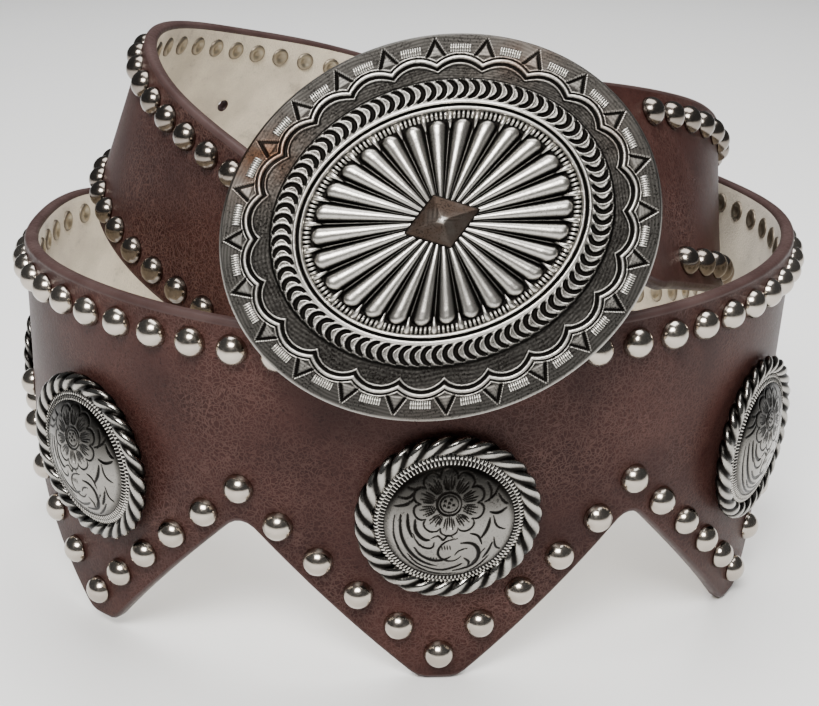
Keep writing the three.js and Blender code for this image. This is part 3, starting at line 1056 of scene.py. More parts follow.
    def stud_backs(self, finish: bpy.types.Material) -> bpy.types.Object:
        """Builds the small clenched rings behind the leather.

        Args:
            finish: the dull nickel.

        Returns:
            All backs as one mesh.
        """
        r = self.back_diameter / 2
        profile = [(r, 0.25), (r, -0.25), (r * 0.9, -0.6), (r * 0.72, -0.78), (r * 0.54, -0.66),
                   (r * 0.42, -0.3), (r * 0.2, -0.12)]
        ring = lathe(profile, self.back_sides)
        # Painted shade: each ring is darkest at its foot and outer wall, next to the leather; its crown and
        # dimple stay light.
        dark = np.array([0.8, 0.7, 0.45, 0.1, 0.0, 0.1, 0.2])[:, None] * np.ones(self.back_sides)
        skin = Skin()
        for along, width in self.stud_places():
            m = np.array(self.coil.place(along, width, -self.coil.leather / 2))
            grid = ring @ m[:3, :3].T + m[:3, 3]
            skin.grid(grid, around=True, flip=True, oxide_and_shade=dark)
            skin.cap(grid[-1], oxide_and_shade=0.2, flip=True)
        return skin.build("stud_backs", [finish])

    def build(self, looks: Looks) -> None:
        """Builds the strap's pieces and dresses them.

        Args:
            looks: all finishes by name.
        """
        finishes = [looks["grain"], looks["flesh"], looks["edge"]]
        pieces = [self.body(finishes), self.eye(looks["edge"]), self.studs(looks["stud"]),
                  self.stud_backs(looks["back"])]
        for piece in pieces:
            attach(piece, "root")
            LOG.info("%s: %d faces", piece.name, len(piece.data.polygons))
        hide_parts("strap")


# Conchos


# The engraving is laid out on a face 29 mm across: a flower over curling leaves
FLOWER = (-0.4, 6.1)
PETALS = 10
LEAF_STRETCH = 1.15
# Each hatched line of a petal: its turn from the petal's middle, where it starts and where it ends
HATCHES = ((-0.2, 3.5, 6.0), (-0.09, 3.1, 6.6), (0.02, 3.0, 5.6), (0.13, 3.2, 6.4), (0.22, 3.6, 5.8))
PETAL_RIM = ((-0.31, 6.2), (-0.25, 7.2), (-0.1, 7.9), (0.1, 7.9), (0.25, 7.2), (0.31, 6.2))
SEEDS = ((-0.9, 0.6), (0.4, 0.9), (0.9, -0.4), (-0.2, -0.9), (-1.1, -0.5), (0.0, 0.1))
# Each leaf's line: the points that it runs through and its half width
LEAVES = (
    ([(-12.2, 2.6), (-12.4, -1.5), (-10.8, -6.0), (-7.4, -9.6), (-3.0, -11.6), (1.5, -11.8)], 0.2),
    ([(-10.9, 2.8), (-10.9, -1.0), (-9.2, -5.2), (-6.0, -8.2), (-2.8, -9.4)], 0.3),
    ([(-9.4, 3.0), (-9.3, 0.4), (-8.4, -2.2)], 0.28),
    ([(-7.8, 1.9), (-7.6, -0.6), (-6.0, -2.4), (-4.6, -2.6)], 0.34),
    ([(-8.3, -1.2), (-7.2, -3.4), (-5.4, -4.6), (-3.9, -4.4), (-3.6, -3.2)], 0.2),
    ([(-7.9, -4.6), (-6.2, -6.6), (-3.6, -7.8), (-1.4, -7.7), (0.2, -6.9)], 0.3),
    ([(-9.4, -6.1), (-7.3, -8.6), (-4.4, -10.2)], 0.18),
    ([(-4.2, -2.2), (-2.6, -1.7), (-1.6, -2.6), (-0.6, -1.6), (0.6, -2.2)], 0.18),
    ([(1.6, -2.4), (-1.2, -3.2), (-2.6, -5.4), (-1.7, -7.4), (0.8, -8.1), (2.6, -6.9)], 0.2),
    ([(2.4, -3.6), (4.7, -3.8), (6.4, -5.6), (6.2, -8.4), (4.2, -10.2), (1.0, -10.9)], 0.34),
    ([(3.9, -5.0), (2.2, -5.4), (1.1, -6.6)], 0.16),
    ([(3.2, -7.4), (4.4, -8.6), (4.3, -9.8)], 0.22),
    ([(-5.4, -9.5), (-2.0, -10.6), (1.4, -9.8), (3.0, -8.9)], 0.26),
    ([(4.4, -1.4), (6.2, -2.2), (7.2, -4.4)], 0.2),
    ([(8.8, 1.6), (8.2, -0.8), (6.7, -3.0)], 0.3),
    ([(9.6, 2.0), (10.4, -0.4), (12.4, -1.6)], 0.18),
    ([(8.7, 3.0), (10.6, 2.5), (12.6, 3.2)], 0.22),
    ([(10.6, 6.4), (11.9, 4.6), (12.9, 4.0)], 0.18),
    ([(9.9, -3.0), (10.4, -5.4), (11.6, -6.4)], 0.18),
    ([(9.6, -4.2), (8.6, -6.6), (7.6, -8.0)], 0.24),
    ([(8.9, -7.6), (7.2, -9.6), (5.0, -11.3)], 0.18),
    ([(-12.4, 4.4), (-9.8, 5.0), (-8.0, 6.4)], 0.18),
    ([(-11.4, 6.4), (-9.4, 6.4), (-8.1, 7.6)], 0.15),
    ([(-9.6, 8.6), (-8.0, 8.2), (-6.6, 8.8)], 0.15),
    ([(8.0, 9.2), (8.9, 7.4), (8.5, 5.4)], 0.17),
    ([(7.4, 5.2), (9.6, 6.4), (10.6, 8.2)], 0.15),
)


def stroke(points: list[tuple[float, float]], width: float, depth: float = 1.0) -> Line:
    """Draws an engraved line.

    Args:
        points: given points that it runs through.
        width: its half width at its widest.
        depth: how strong it is.

    Returns:
        The smooth curve, its half widths and its strength.
    """
    p = np.array(points, float)
    fine = np.linspace(0, len(p) - 1, max(24, 14 * len(p)))
    if len(p) > 2:
        t = np.arange(len(p), dtype=float)
        curve = np.stack([spline(t, p[:, 0], fine), spline(t, p[:, 1], fine)], axis=-1)
    else:
        curve = p[0] + (p[1] - p[0]) * (fine / fine[-1])[:, None]
    taper = np.sin(np.pi * np.linspace(0.06, 0.94, len(curve))) ** 0.6
    return curve, width * taper, depth


def round_flower(radius: float, angle: float) -> tuple[float, float]:
    """A place round the flower's middle."""
    return FLOWER[0] + radius * math.cos(angle), FLOWER[1] + radius * math.sin(angle)


def flower() -> list[Line]:
    """Draws the flower with its hatched petals and its seeds.

    Returns:
        The flower's lines.
    """
    lines = []
    for k in range(PETALS):
        a = 2 * math.pi * (k + 0.5) / PETALS
        for d, start, end in HATCHES:
            lines.append(stroke([round_flower(start, a + d), round_flower(end, a + d)], 0.13, 0.75))
        lines.append(stroke([round_flower(r, a + d) for d, r in PETAL_RIM], 0.17, 0.8))
    for r, width in ((2.7, 0.2), (2.0, 0.12)):
        lines.append(stroke([round_flower(r, t) for t in np.linspace(0, 2 * math.pi, 13)], width))
    cx, cy = FLOWER
    for x, y in SEEDS:
        seed = [(cx + x - 0.25, cy + y), (cx + x, cy + y + 0.3), (cx + x + 0.3, cy + y)]
        lines.append(stroke(seed, 0.14, 0.8))
    return lines


def scroll_work() -> list[Line]:
    """Draws the flower and the leaves with their hatching.

    Returns:
        All engraved lines.
    """
    lines = flower()
    lines += [stroke([(x, y * LEAF_STRETCH) for x, y in points], width) for points, width in LEAVES]
    for x in (-1.9, -1.3, -0.7, -0.1):
        lines.append(stroke([(x, -4.6), (x + 0.25, -5.9)], 0.11, 0.7))
    for x in (-5.4, -4.8, -4.2, -3.6, -3.0):
        lines.append(stroke([(x, -8.4 - 0.1 * x), (x + 0.2, -9.1 - 0.1 * x)], 0.1, 0.7))
    for k in range(5):
        hatch = [(4.9 + 0.55 * k, -11.0 + 0.9 * k), (5.6 + 0.65 * k, -9.6 + 0.9 * k)]
        lines.append(stroke(hatch, 0.11, 0.7))
    return lines


@dataclass
class Conchos:
    """The rope-edged domed discs and their posts, all of one pattern."""

    strap: Strap
    diameter: float = 42.0
    edge: float = 1.4
    rope: float = 4.5
    strands: int = 27
    dome: float = 6.0
    above_edge: float = 7.0
    pitch: float = 89.0
    shift: float = -1.0
    post: float = 4.0
    head: float = 8.0
    head_thickness: float = 1.2
    gap: float = 0.3
    strand_columns: int = 14
    rope_sides: int = 20
    face_columns: int = 350
    ring_columns: int = 550
    ticks: int = 110
    ring_width: float = 2.7
    ring_rise: float = 0.9
    ring_over_edge: float = 0.8
    cut_depth: float = 0.2
    back_sides: int = 40

    def rope_edge(self, skin: Skin) -> None:
        """Adds the twisted rope round the disc.

        Args:
            skin: where it goes.
        """
        around = self.strands * self.strand_columns
        theta = 2 * np.pi * np.arange(around) / around
        t, p = polar_grid(theta, self.rope_sides)
        phase = self.strands * t - 3.0 * p
        swell = np.abs(np.cos(phase / 2)) ** 0.7
        thick = self.rope / 2 * (0.6 + 0.44 * swell)
        centre = self.diameter / 2 - self.rope / 2
        height = self.edge * 0.55 + thick * 0.84 * np.sin(p) + self.rope * 0.2
        r = centre + thick * np.cos(p)
        points = np.stack([r * np.cos(t), r * np.sin(t), np.maximum(height, 0.05)], axis=-1)
        # The gaps between the strands are darker, leaving the strands' crests bright. Painted shade: the
        # rope's underside, towards the disc, is darkened.
        dark = 1 - smooth(0.4, 0.98, swell)
        painted_underside_shade = smooth(0.3, -0.3, np.sin(p)) * 0.8
        skin.grid(points, around=True, closed=True, oxide_and_shade=np.maximum(0.2 + 0.85 * dark, painted_underside_shade))

    def milled_ring(self, skin: Skin, rim: float, disc: float) -> None:
        """Adds the ring of milled ticks inside the rope.

        Args:
            skin: where it goes.
            rim: its outer radius.
            disc: its inner radius.
        """
        r, a = polar_grid(np.linspace(rim, disc, 10), self.ring_columns)
        share = (rim - r) / (rim - disc)
        tick = np.clip(np.cos(self.ticks * a + np.where(share > 0.5, np.pi, 0)) * 2.2 + 0.4, 0, 1)
        ends = smooth(0.08, 0.16, share) * smooth(0.98, 0.9, share)
        tick *= ends * (1 - smooth(0.06, 0.0, np.abs(share - 0.5)))
        height = self.edge + self.ring_over_edge + share * self.ring_rise + 0.28 * tick
        skin.relief(r * np.cos(a), r * np.sin(a), height, 0.92 * (1 - tick))

    def face(self, skin: Skin) -> None:
        """Adds the milled ring and the engraved dome.

        Args:
            skin: where they go.
        """
        rim = self.diameter / 2 - self.rope + 0.7
        disc = rim - self.ring_width
        self.milled_ring(skin, rim, disc)
        r, a = polar_grid(np.linspace(disc, 0.25, 65), self.face_columns)
        x, y = r * np.cos(a), r * np.sin(a)
        cut = self.engraved(x, y)
        base = self.edge + self.ring_over_edge + self.ring_rise
        height = base + (self.dome - base) * (1 - (r / disc) ** 2) ** 0.8 - self.cut_depth * cut
        # Painted shade: the dome is darker towards its top, standing in for the dark surround that it
        # reflects. The engraved lines hold dark tarnish, and the edge by the milled ring is darker too.
        dark = 0.32 + 0.42 * smooth(-1, 10, y) + 0.85 * cut + 0.3 * smooth(0.9, 1.0, r / disc)
        skin.relief(x, y, height, np.clip(dark, 0, 1))
        skin.cap(innermost(x, y, height))

    def engraved(self, x: np.ndarray, y: np.ndarray) -> np.ndarray:
        """Cuts the engraving into the face.

        Args:
            x: X of each point.
            y: Y of each point.

        Returns:
            How deep it is at each point, from 0 to 1.
        """
        cut = np.zeros(x.shape)
        scale = (self.diameter / 2 - self.rope - 2.0) / 14.5
        for curve, width, depth in scroll_work():
            curve = curve * scale
            low, high = curve.min(axis=0) - 1, curve.max(axis=0) + 1
            near = (x > low[0]) & (x < high[0]) & (y > low[1]) & (y < high[1])
            if not near.any():
                continue
            px, py = x[near], y[near]
            away = np.hypot(px[:, None] - curve[:, 0], py[:, None] - curve[:, 1]) / width
            cut[near] = np.maximum(cut[near], depth * smooth(1.9, 0.6, away.min(axis=1)))
        return cut

    def back(self, skin: Skin) -> None:
        """Adds the flat back, the screw post and the post's head behind the leather.

        Args:
            skin: where they go.
        """
        r, through = self.diameter / 2 - 1.2, self.strap.coil.leather + 2 * self.gap + 0.1
        post, head, deep = self.post / 2, self.head / 2, through + self.head_thickness
        profile = [(r, 0.9), (r, 0.25), (r - 0.3, 0.0), (post, 0.0), (post, -through),
                   (head - 0.25, -through), (head, -through - 0.25), (head, -deep + 0.4),
                   (head - 0.5, -deep), (0.8, -deep - 0.1)]
        turned = lathe(profile, self.back_sides)
        skin.grid(turned, around=True, flip=True, oxide_and_shade=0.25)
        skin.cap(turned[-1], flip=True, oxide_and_shade=0.25)

    def build(self, looks: Looks) -> None:
        """Builds all conchos from one pattern and dresses them.

        Args:
            looks: all finishes by name.
        """
        skin = Skin()
        self.rope_edge(skin)
        self.face(skin)
        self.back(skin)
        coil = self.strap.coil
        for i in range(self.strap.tip_count):
            from_middle = i - (self.strap.tip_count - 1) / 2
            along = self.strap.middle_tip + self.shift + from_middle * self.pitch
            place = coil.place(along, self.above_edge, coil.leather / 2 + self.gap)
            piece = skin.build(f"concho_disc_{i + 1}", [looks["concho"]], place)
            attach(piece, "root")
            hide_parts(f"concho_{i + 1}")
            LOG.info("concho %d: %d faces", i + 1, len(piece.data.polygons))


# Buckle


@dataclass
class Buckle:
    """The oval plate with its stamped border, crescent band, sunburst, diamond, bar and button hook."""

    strap: Strap
    length: float = 92.7
    height: float = 79.1
    plate: float = 1.8
    centre: tuple[float, float] = (0.45, 0.85)
    relief_shift: tuple[float, float] = (0.5, 0.5)
    motifs: int = 24
    crescents: int = 85
    flutes: int = 28
    flute_share: float = 0.4
    ticks_per_flute: int = 6
    comb_teeth: int = 9
    lobe_centre: float = 12.8
    lobe_radius: float = 8.45
    band_start: float = 10.3
    ring_start: float = 15.0
    ring_end: float = 17.0
    flute_start: float = 18.9
    band_rise: float = 1.5
    diamond_length: float = 17.0
    diamond_width: float = 12.0
    diamond_rise: float = 4.4
    bar_from_centre: float = 30.5
    bar_diameter: float = 4.0
    lug: float = 2.0
    button_diameter: float = 3.4
    button_head: float = 6.0
    button_length: float = 6.0
    facing: float = 21.0
    gap: float = 0.3
    motif_columns: int = 44
    border_middle: float = 5.0
    comb_step: float = 0.047
    comb_insets: tuple[float, float] = (2.4, 4.2)
    comb_half: float = 0.2
    comb_rise: float = 0.5
    crescent_columns: int = 13
    crescent_middle: float = 12.75
    flute_columns: int = 30
    turned_sides: int = 28

    def __post_init__(self) -> None:
        """Finds the plate's place from the strap's rolled end, its face turned to the viewer."""
        coil = self.strap.coil
        self.bar_depth = -(self.strap.eye_radius + 2 * self.gap)
        middle, _, across, _ = (v[0] for v in coil.at(np.array([coil.length])))
        tilt = math.radians(self.facing)
        looks_to = np.array([0.0, -math.cos(tilt), math.sin(tilt)])
        face = unit(looks_to - across * looks_to.dot(across))
        long_way = np.cross(across, face)
        origin = middle - long_way * self.bar_from_centre - face * self.bar_depth
        self.place = basis(long_way, across, face, origin)

    def angles(self, inset: float, turn: np.ndarray) -> np.ndarray:
        """Spaces places evenly along the oval.

        Args:
            inset: distance from the rim at which they lie evenly.
            turn: shares of the way round.

        Returns:
            The ellipse's angles there.
        """
        fine = np.linspace(0, 2 * np.pi, 2001)
        a, b = self.length / 2 - inset, self.height / 2 - inset
        speed = np.hypot(a * np.sin(fine), b * np.cos(fine))
        run = np.concatenate([[0.0], np.cumsum((speed[1:] + speed[:-1]) / 2)])
        return np.interp(turn % 1.0, run / run[-1], fine)

    def spot(self, inset: np.ndarray, angle: np.ndarray) -> tuple[np.ndarray, np.ndarray]:
        """Finds places on the plate, whose band and all inside it sit a little off the rim's centre.

        Args:
            inset: distances from the rim.
            angle: the ellipse's angles.

        Returns:
            X and Y of each place.
        """
        share = smooth(7.0, self.band_start, inset)
        x = (self.length / 2 - inset) * np.cos(angle) + self.centre[0] + self.relief_shift[0] * share
        y = (self.height / 2 - inset) * np.sin(angle) + self.centre[1] + self.relief_shift[1] * share
        return x, y

    def oval(self, insets: np.ndarray, columns: int, middle: float) -> tuple[np.ndarray, ...]:
        """Grid over a ring of the oval.

        Args:
            insets: distances from the rim, outermost first.
            columns: points round the oval.
            middle: the inset at which the columns lie evenly.

        Returns:
            Inset, turns round the oval from 0 to 1, X and Y of each point.
        """
        turn = np.arange(columns) / columns
        d, a = np.meshgrid(insets, self.angles(middle, turn), indexing="ij")
        return d, np.broadcast_to(turn, d.shape), *self.spot(d, a)

    def pitch(self, inset: np.ndarray, count: int) -> np.ndarray:
        """Mean distance between copies of a motif round the oval at an inset."""
        a, b = self.length / 2 - inset, self.height / 2 - inset
        return 2 * np.pi * np.sqrt((a * a + b * b) / 2) / count

    def bar_row(self, skin: Skin, turns: np.ndarray, middle: float, insets: tuple[float, float],
                widths: tuple[float, float], base: float, rise: float) -> None:
        """Adds small raised bars that point to the middle of the plate.

        Args:
            skin: where they go.
            turns: their places round the oval.
            middle: the inset at which the places lie evenly.
            insets: where each bar starts and ends.
            widths: its half widths there.
            base: the height that it stands on.
            rise: how far it stands up.
        """
        across = np.array([-1.0, -0.78, 0.0, 0.78, 1.0])
        lift = np.array([0.0, 0.9, 1.0, 0.9, 0.0])
        along = np.array([0.0, 0.1, 0.5, 0.9, 1.0])
        keep = np.array([0.0, 0.95, 1.0, 0.9, 0.0])
        for angle in self.angles(middle, turns):
            inset = insets[0] + (insets[1] - insets[0]) * along
            x, y = self.spot(inset, np.full(5, angle))
            side = unit(np.array([-(self.length / 2 - middle) * math.sin(angle),
                                  (self.height / 2 - middle) * math.cos(angle)]))
            half = widths[0] + (widths[1] - widths[0]) * along
            offset = half[:, None] * across
            height = base + rise * keep[:, None] * lift
            points = [x[:, None] + offset * side[0], y[:, None] + offset * side[1], height]
            skin.grid(np.stack(points, axis=-1), oxide_and_shade=0.7 * (1 - np.minimum(1.3 * keep[:, None] * lift, 1)))

    @staticmethod
    def patch(x: np.ndarray, y: np.ndarray) -> np.ndarray:
        """Marks where the plating has worn through to copper.

        Args:
            x: X of each point.
            y: Y of each point.

        Returns:
            How coppery each point is, from 0 to 1.
        """
        spots = ((-31, 25, 12, 9, 1.0), (27, 29, 11, 6, 0.7), (40, 8, 5, 9, 0.35), (-14, -34, 9, 4, 0.25))
        return np.clip(sum(s * np.exp(-((x - cx) / rx) ** 2 - ((y - cy) / ry) ** 2)
                           for cx, cy, rx, ry, s in spots), 0, 1)

    def border(self, skin: Skin) -> None:
        """Adds the rim and the border: triangles, combs and scallops of concentric arcs.

        Args:
            skin: where they go.
        """
        insets = np.concatenate([[0.0, 0.12, 0.3], np.linspace(0.55, self.band_start, 62)])
        d, turn, x, y = self.oval(insets, self.motifs * self.motif_columns, self.border_middle)
        cell = np.abs((turn * self.motifs + 0.5) % 1.0 - 0.5)
        wide = self.pitch(d, self.motifs)
        from_tip, from_lobe = cell * wide, (0.5 - cell) * wide

        # Triangles that point at the rim, with a lip round each
        half = 2.25 * (d - 0.9) / 3.9
        on_tip = smooth(0.9, 1.0, d) * smooth(4.95, 4.75, d)
        cut = smooth(0.42, 0.2, np.abs(from_tip - half + 0.36)) * on_tip
        lip = smooth(0.2, 0.06, np.abs(from_tip - half - 0.1)) * on_tip
        facet = smooth(0.62, 0.85, half - from_tip) * on_tip

        # Scallops: arcs about the middle of each lobe
        arc = self.lobe_radius - np.hypot(from_lobe, self.lobe_centre - d)
        outline = smooth(0.24, 0.08, np.abs(arc))
        ridge = smooth(0.58, 0.2, np.abs(arc - 0.85))
        second = smooth(0.3, 0.1, np.abs(arc - 2.1))
        groove = np.maximum(smooth(0.24, 0.08, np.abs(arc - 0.28)), smooth(0.38, 0.2, np.abs(arc - 1.6)))
        inside = smooth(2.25, 2.5, arc) * smooth(self.band_start + 0.1, self.band_start - 0.3, d)
        bank = smooth(self.band_start - 0.35, self.band_start, d)
        rim = smooth(0.0, 0.5, d)
        grain = 0.5 + 0.5 * np.sin(x * 3.1 + 2.0 * np.sin(y * 2.3)) * np.sin(y * 3.7 + 1.7 * np.sin(x * 2.9))
        height = self.plate * (0.55 + 0.45 * rim) + 0.22 * outline + 0.4 * ridge + 0.2 * second + 0.12 * lip
        height += 0.12 * facet - 0.35 * groove - 0.45 * cut - 0.22 * inside - 0.06 * grain * inside

        # Tarnish, dark in what lies deep
        streak = 0.5 + 0.5 * np.sin(d * 9.0 + 2.5 * np.sin(turn * 95.0) + 1.7 * np.sin(turn * 41.0))
        dark = 0.8 + 0.1 * grain * inside - 0.1 * streak - 0.2 * facet
        dark = dark - 0.62 * np.maximum(ridge, outline) - 0.5 * second
        dark = np.clip(dark - 0.55 * lip, 0, 1)
        dark = np.clip(dark + 0.9 * groove + 0.95 * cut + 0.2 * bank, 0, 1)
        from_rim = smooth(0.0, 0.8, d)
        dark = np.clip(dark * from_rim + 0.2 * (1 - from_rim), 0, 1)
        copper = self.patch(x, y)
        skin.relief(x, y, height, dark * (1 - 0.25 * copper), copper)
        self.combs(skin)

    def combs(self, skin: Skin) -> None:
        """Adds the comb of small teeth over each scallop.

        Args:
            skin: where they go.
        """
        teeth = (np.arange(self.comb_teeth) - (self.comb_teeth - 1) / 2) * self.comb_step
        for lobe in range(self.motifs):
            self.bar_row(skin, (lobe + 0.5 + teeth) / self.motifs, self.border_middle, self.comb_insets,
                         (self.comb_half, self.comb_half), self.plate - 0.05, self.comb_rise)

    def band(self, skin: Skin) -> None:
        """Adds the raised band of crescents and the double ring inside it.

        Args:
            skin: where they go.
        """
        insets = np.concatenate([np.linspace(self.band_start, self.ring_start, 31)[:-1],
                                 np.linspace(self.ring_start, self.ring_end, 18)[:-1],
                                 np.linspace(self.ring_end, self.flute_start + 0.5, 10)])
        d, turn, x, y = self.oval(insets, self.crescents * self.crescent_columns, 12.8)

        # Crescents: each point's distance from the nearest bent cut
        pitch = self.pitch(d, self.crescents)
        cell = (turn * self.crescents) % 1.0 - 0.5
        share = (d - self.crescent_middle) / 1.75
        bulge = 1.15 * (1 - share ** 2)
        offset = cell * pitch + bulge - 0.55
        offset = np.minimum(np.abs(offset), np.abs(offset - pitch))
        steep = np.sqrt(1 + (2.3 * np.clip(share, -1, 1) / 1.75) ** 2)
        past_end = np.clip(np.abs(d - self.crescent_middle) - 1.6, 0, None)
        away = np.hypot(offset / steep, past_end)
        cut, lip = smooth(0.53, 0.36, away), smooth(0.2, 0.05, np.abs(away - 0.66))

        # Heights of the band, the double ring and the shelf that the ticks stand on
        top = self.plate + self.band_rise
        rise = smooth(self.band_start, self.band_start + 0.5, d)
        band = self.plate + self.band_rise * rise + 0.12 * lip - 0.8 * cut
        ring = np.interp(d, [15.0, 15.1, 15.3, 15.6, 15.75, 16.05, 16.35, 16.5, 16.8, 17.0],
                         [0.0, 0.3, 0.42, 0.38, 0.0, -0.5, 0.0, 0.36, 0.36, 0.0])
        shelf = top - 1.1 * smooth(self.ring_end, self.ring_end + 0.5, d)
        on_ring, on_ticks = d >= self.ring_start, d > self.ring_end
        height = np.where(on_ticks, shelf, np.where(on_ring, top + ring, band))
        groove = smooth(0.34, 0.22, np.abs(d - 16.05))
        speckle = np.sin(x * 8.3 + 3.0 * np.sin(y * 5.1)) * np.sin(y * 9.7 + 2.0 * np.sin(x * 6.7))
        dark = np.clip(0.52 + 0.1 * speckle + 0.95 * cut - 0.4 * lip + 0.4 * (1 - rise), 0, 1)
        dark = np.where(on_ticks, 0.97, np.where(on_ring, 0.97 * groove, dark))
        skin.relief(x, y, height, dark, 0.35 * self.patch(x, y))
        self.tick_ring(skin, top)

    def tick_ring(self, skin: Skin, top: float) -> None:
        """Adds the ring of ticks round the flutes, with a long one between each two flutes.

        Args:
            skin: where they go.
            top: the height of the band.
        """
        count = self.flutes * self.ticks_per_flute
        ticks = (np.arange(count) + 0.5 * (self.ticks_per_flute % 2)) / count
        gaps = (np.arange(self.flutes) + 0.5) / self.flutes
        plain = np.array([t for t in ticks if np.min(np.abs(t - gaps)) > 0.4 / count])
        self.bar_row(skin, plain, self.flute_start, (16.95, 18.85), (0.33, 0.27), top - 1.2, 0.85)
        self.bar_row(skin, gaps, self.flute_start, (16.95, 20.9), (0.85, 0.1), top - 1.25, 1.25)

    def sunburst(self, skin: Skin) -> None:
        """Adds the straight round flutes that run in to the middle.

        Args:
            skin: where they go.
        """
        columns = self.flutes * self.flute_columns
        turn = np.arange(columns) / columns
        angle = self.angles(self.flute_start, turn)
        shrink = np.concatenate([np.linspace(1.03, 0.86, 24)[:-1], np.linspace(0.86, 0.1, 40)])
        k = np.meshgrid(shrink, angle, indexing="ij")[0]
        edge_x, edge_y = self.spot(np.array([self.flute_start]), angle)
        mid_x, mid_y = (self.centre[i] + self.relief_shift[i] for i in (0, 1))
        x, y = mid_x + (edge_x - mid_x) * k, mid_y + (edge_y - mid_y) * k
        into = (1 - k) * np.hypot(edge_x - mid_x, edge_y - mid_y)
        across = np.abs((turn * self.flutes + 0.5) % 1.0 - 0.5) * np.ones(k.shape)
        half = self.flute_share * self.pitch(self.flute_start, self.flutes) * k
        tip = np.clip((into + 0.1) / (half * 0.8), 0, 1)
        round_end = np.sqrt(np.clip(1 - (1 - tip) ** 2, 0, 1))
        share = across / (self.flute_share * np.maximum(round_end, 0.02))
        ridge = np.sqrt(np.clip(1 - share ** 2, 0, 1)) * np.sqrt(round_end)
        spine = np.clip(1 - (0.5 - across) / 0.075, 0, 1) * smooth(1.0, 2.6, into) * smooth(0.15, 0.3, k)
        rise = np.clip(half * 0.92, 0.2, 1.75)
        ground = self.plate + 0.1 + 1.2 * smooth(1.0, 0.3, k)
        height = ground + rise * ridge + 0.5 * rise * spine
        dark = np.clip(1.0 - 0.94 * smooth(0.35, 0.95, ridge) - 0.5 * spine, 0, 1)
        skin.relief(x, y, height, dark)
        skin.cap(innermost(x, y, height), oxide_and_shade=0.9)

    def diamond(self, skin: Skin) -> None:
        """Adds the worn pyramid in the middle.

        Args:
            skin: where it goes.
        """
        steps = np.concatenate([[1.04, 1.0], np.linspace(0.96, 0.06, 16)])
        corner = np.array([(1, 0), (0, 1), (-1, 0), (0, -1), (1, 0)], float)
        count = 64
        u = np.arange(count) / count * 4
        k = np.floor(u).astype(int)
        f = (u - k)[:, None]
        outline = corner[k] * (1 - f) + corner[k + 1] * f
        p = np.stack([outline * s for s in steps])
        x, y = p[..., 0] * self.diamond_length / 2, p[..., 1] * self.diamond_width / 2
        share = steps[:, None] * np.ones(count)
        base, top = self.plate + 1.9, self.plate + self.diamond_rise
        height = base + (top - base) * (1 - np.clip(share, 0, 1)) ** 0.95
        height[0] = base - 2.0
        height[1] = base - 0.25
        height += 0.06 * np.sin(x * 4.3 + y * 3.1) * np.sin(y * 5.7 - x * 2.2)
        bright = smooth(0.2, 0.08, share)
        dark = np.clip(0.58 - 0.5 * bright + 0.35 * smooth(0.9, 1.0, share), 0, 1)
        x = x + self.centre[0] + self.relief_shift[0]
        y = y + self.centre[1] + self.relief_shift[1]
        skin.relief(x, y, height, dark, 0.8 * (1 - bright))
        skin.cap(innermost(x, y, height), oxide_and_shade=0.05)

    def back(self, skin: Skin) -> None:
        """Adds the plain back of the plate, its lugs, bar and button hook.

        Args:
            skin: where they go.
        """
        columns = self.motifs * self.motif_columns
        angle = self.angles(self.border_middle, np.arange(columns) / columns)
        rings = []
        for inset, z in ((0.0, 0.99), (0.12, 0.35), (0.6, 0.06), (1.4, 0.0), (6.5, 0.0), (12.0, 0.25),
                         (30.0, 0.4)):
            x, y = self.spot(np.array([inset]), angle)
            rings.append(np.stack([x, y, np.full(columns, z)], axis=-1))
        skin.grid(np.stack(rings), around=True, flip=True, oxide_and_shade=0.42)
        skin.cap(rings[-1], flip=True, oxide_and_shade=0.42)
        reach = self.strap.buckle_end_width / 2 + self.gap + self.lug / 2
        for side in (-1, 1):
            self.lug_plate(skin, side * reach)
        r = self.bar_diameter / 2
        bar = lathe([(0.1, -reach), (r, -reach), (r, reach), (0.1, reach)], self.turned_sides)
        bar = bar[..., [0, 2, 1]] + np.array([self.bar_from_centre, 0, self.bar_depth])
        skin.grid(bar, around=True, oxide_and_shade=0.25)
        self.button(skin)

    def button(self, skin: Skin) -> None:
        """Adds the button hook on the back of the plate.

        Args:
            skin: where it goes.
        """
        post, head, deep = self.button_diameter / 2, self.button_head / 2, -self.button_length
        profile = [(post * 1.25, 0.3), (post, -0.6), (post * 0.92, deep + 1.4), (post, deep + 0.7),
                   (head, deep + 0.45), (head, deep - 0.2), (head * 0.75, deep - 0.6), (0.3, deep - 0.7)]
        knob = lathe(profile, self.turned_sides) + np.array([-self.bar_from_centre, 0, 0])
        skin.grid(knob, around=True, flip=True, oxide_and_shade=0.2)
        skin.cap(knob[-1], flip=True, oxide_and_shade=0.2)

    def lug_plate(self, skin: Skin, at: float) -> None:
        """Adds one lug that holds the bar, rounded at its far end.

        Args:
            skin: where it goes.
            at: its place along the bar, from the bar's middle.
        """
        r, t = self.bar_diameter / 2 + 0.9, self.lug / 2
        arc = [(r * math.cos(v), r * math.sin(v)) for v in np.linspace(0, -math.pi, 15)]
        outline = [(r * 1.3, -self.bar_depth + 0.4), *arc, (-r * 1.3, -self.bar_depth + 0.4)]
        ring = np.array([(x + self.bar_from_centre, z + self.bar_depth) for x, z in outline])
        middle = np.array([self.bar_from_centre, self.bar_depth / 2])
        rows = []
        for y, s in ((-t, 0.93), (-t + 0.25, 1.0), (t - 0.25, 1.0), (t, 0.93)):
            q = middle + (ring - middle) * s
            rows.append(np.stack([q[:, 0], np.full(len(q), at + y), q[:, 1]], axis=-1))
        grid = np.stack(rows)
        skin.grid(grid, around=True, flip=True, oxide_and_shade=0.35)
        skin.cap(grid[0], oxide_and_shade=0.35)
        skin.cap(grid[-1], flip=True, oxide_and_shade=0.35)

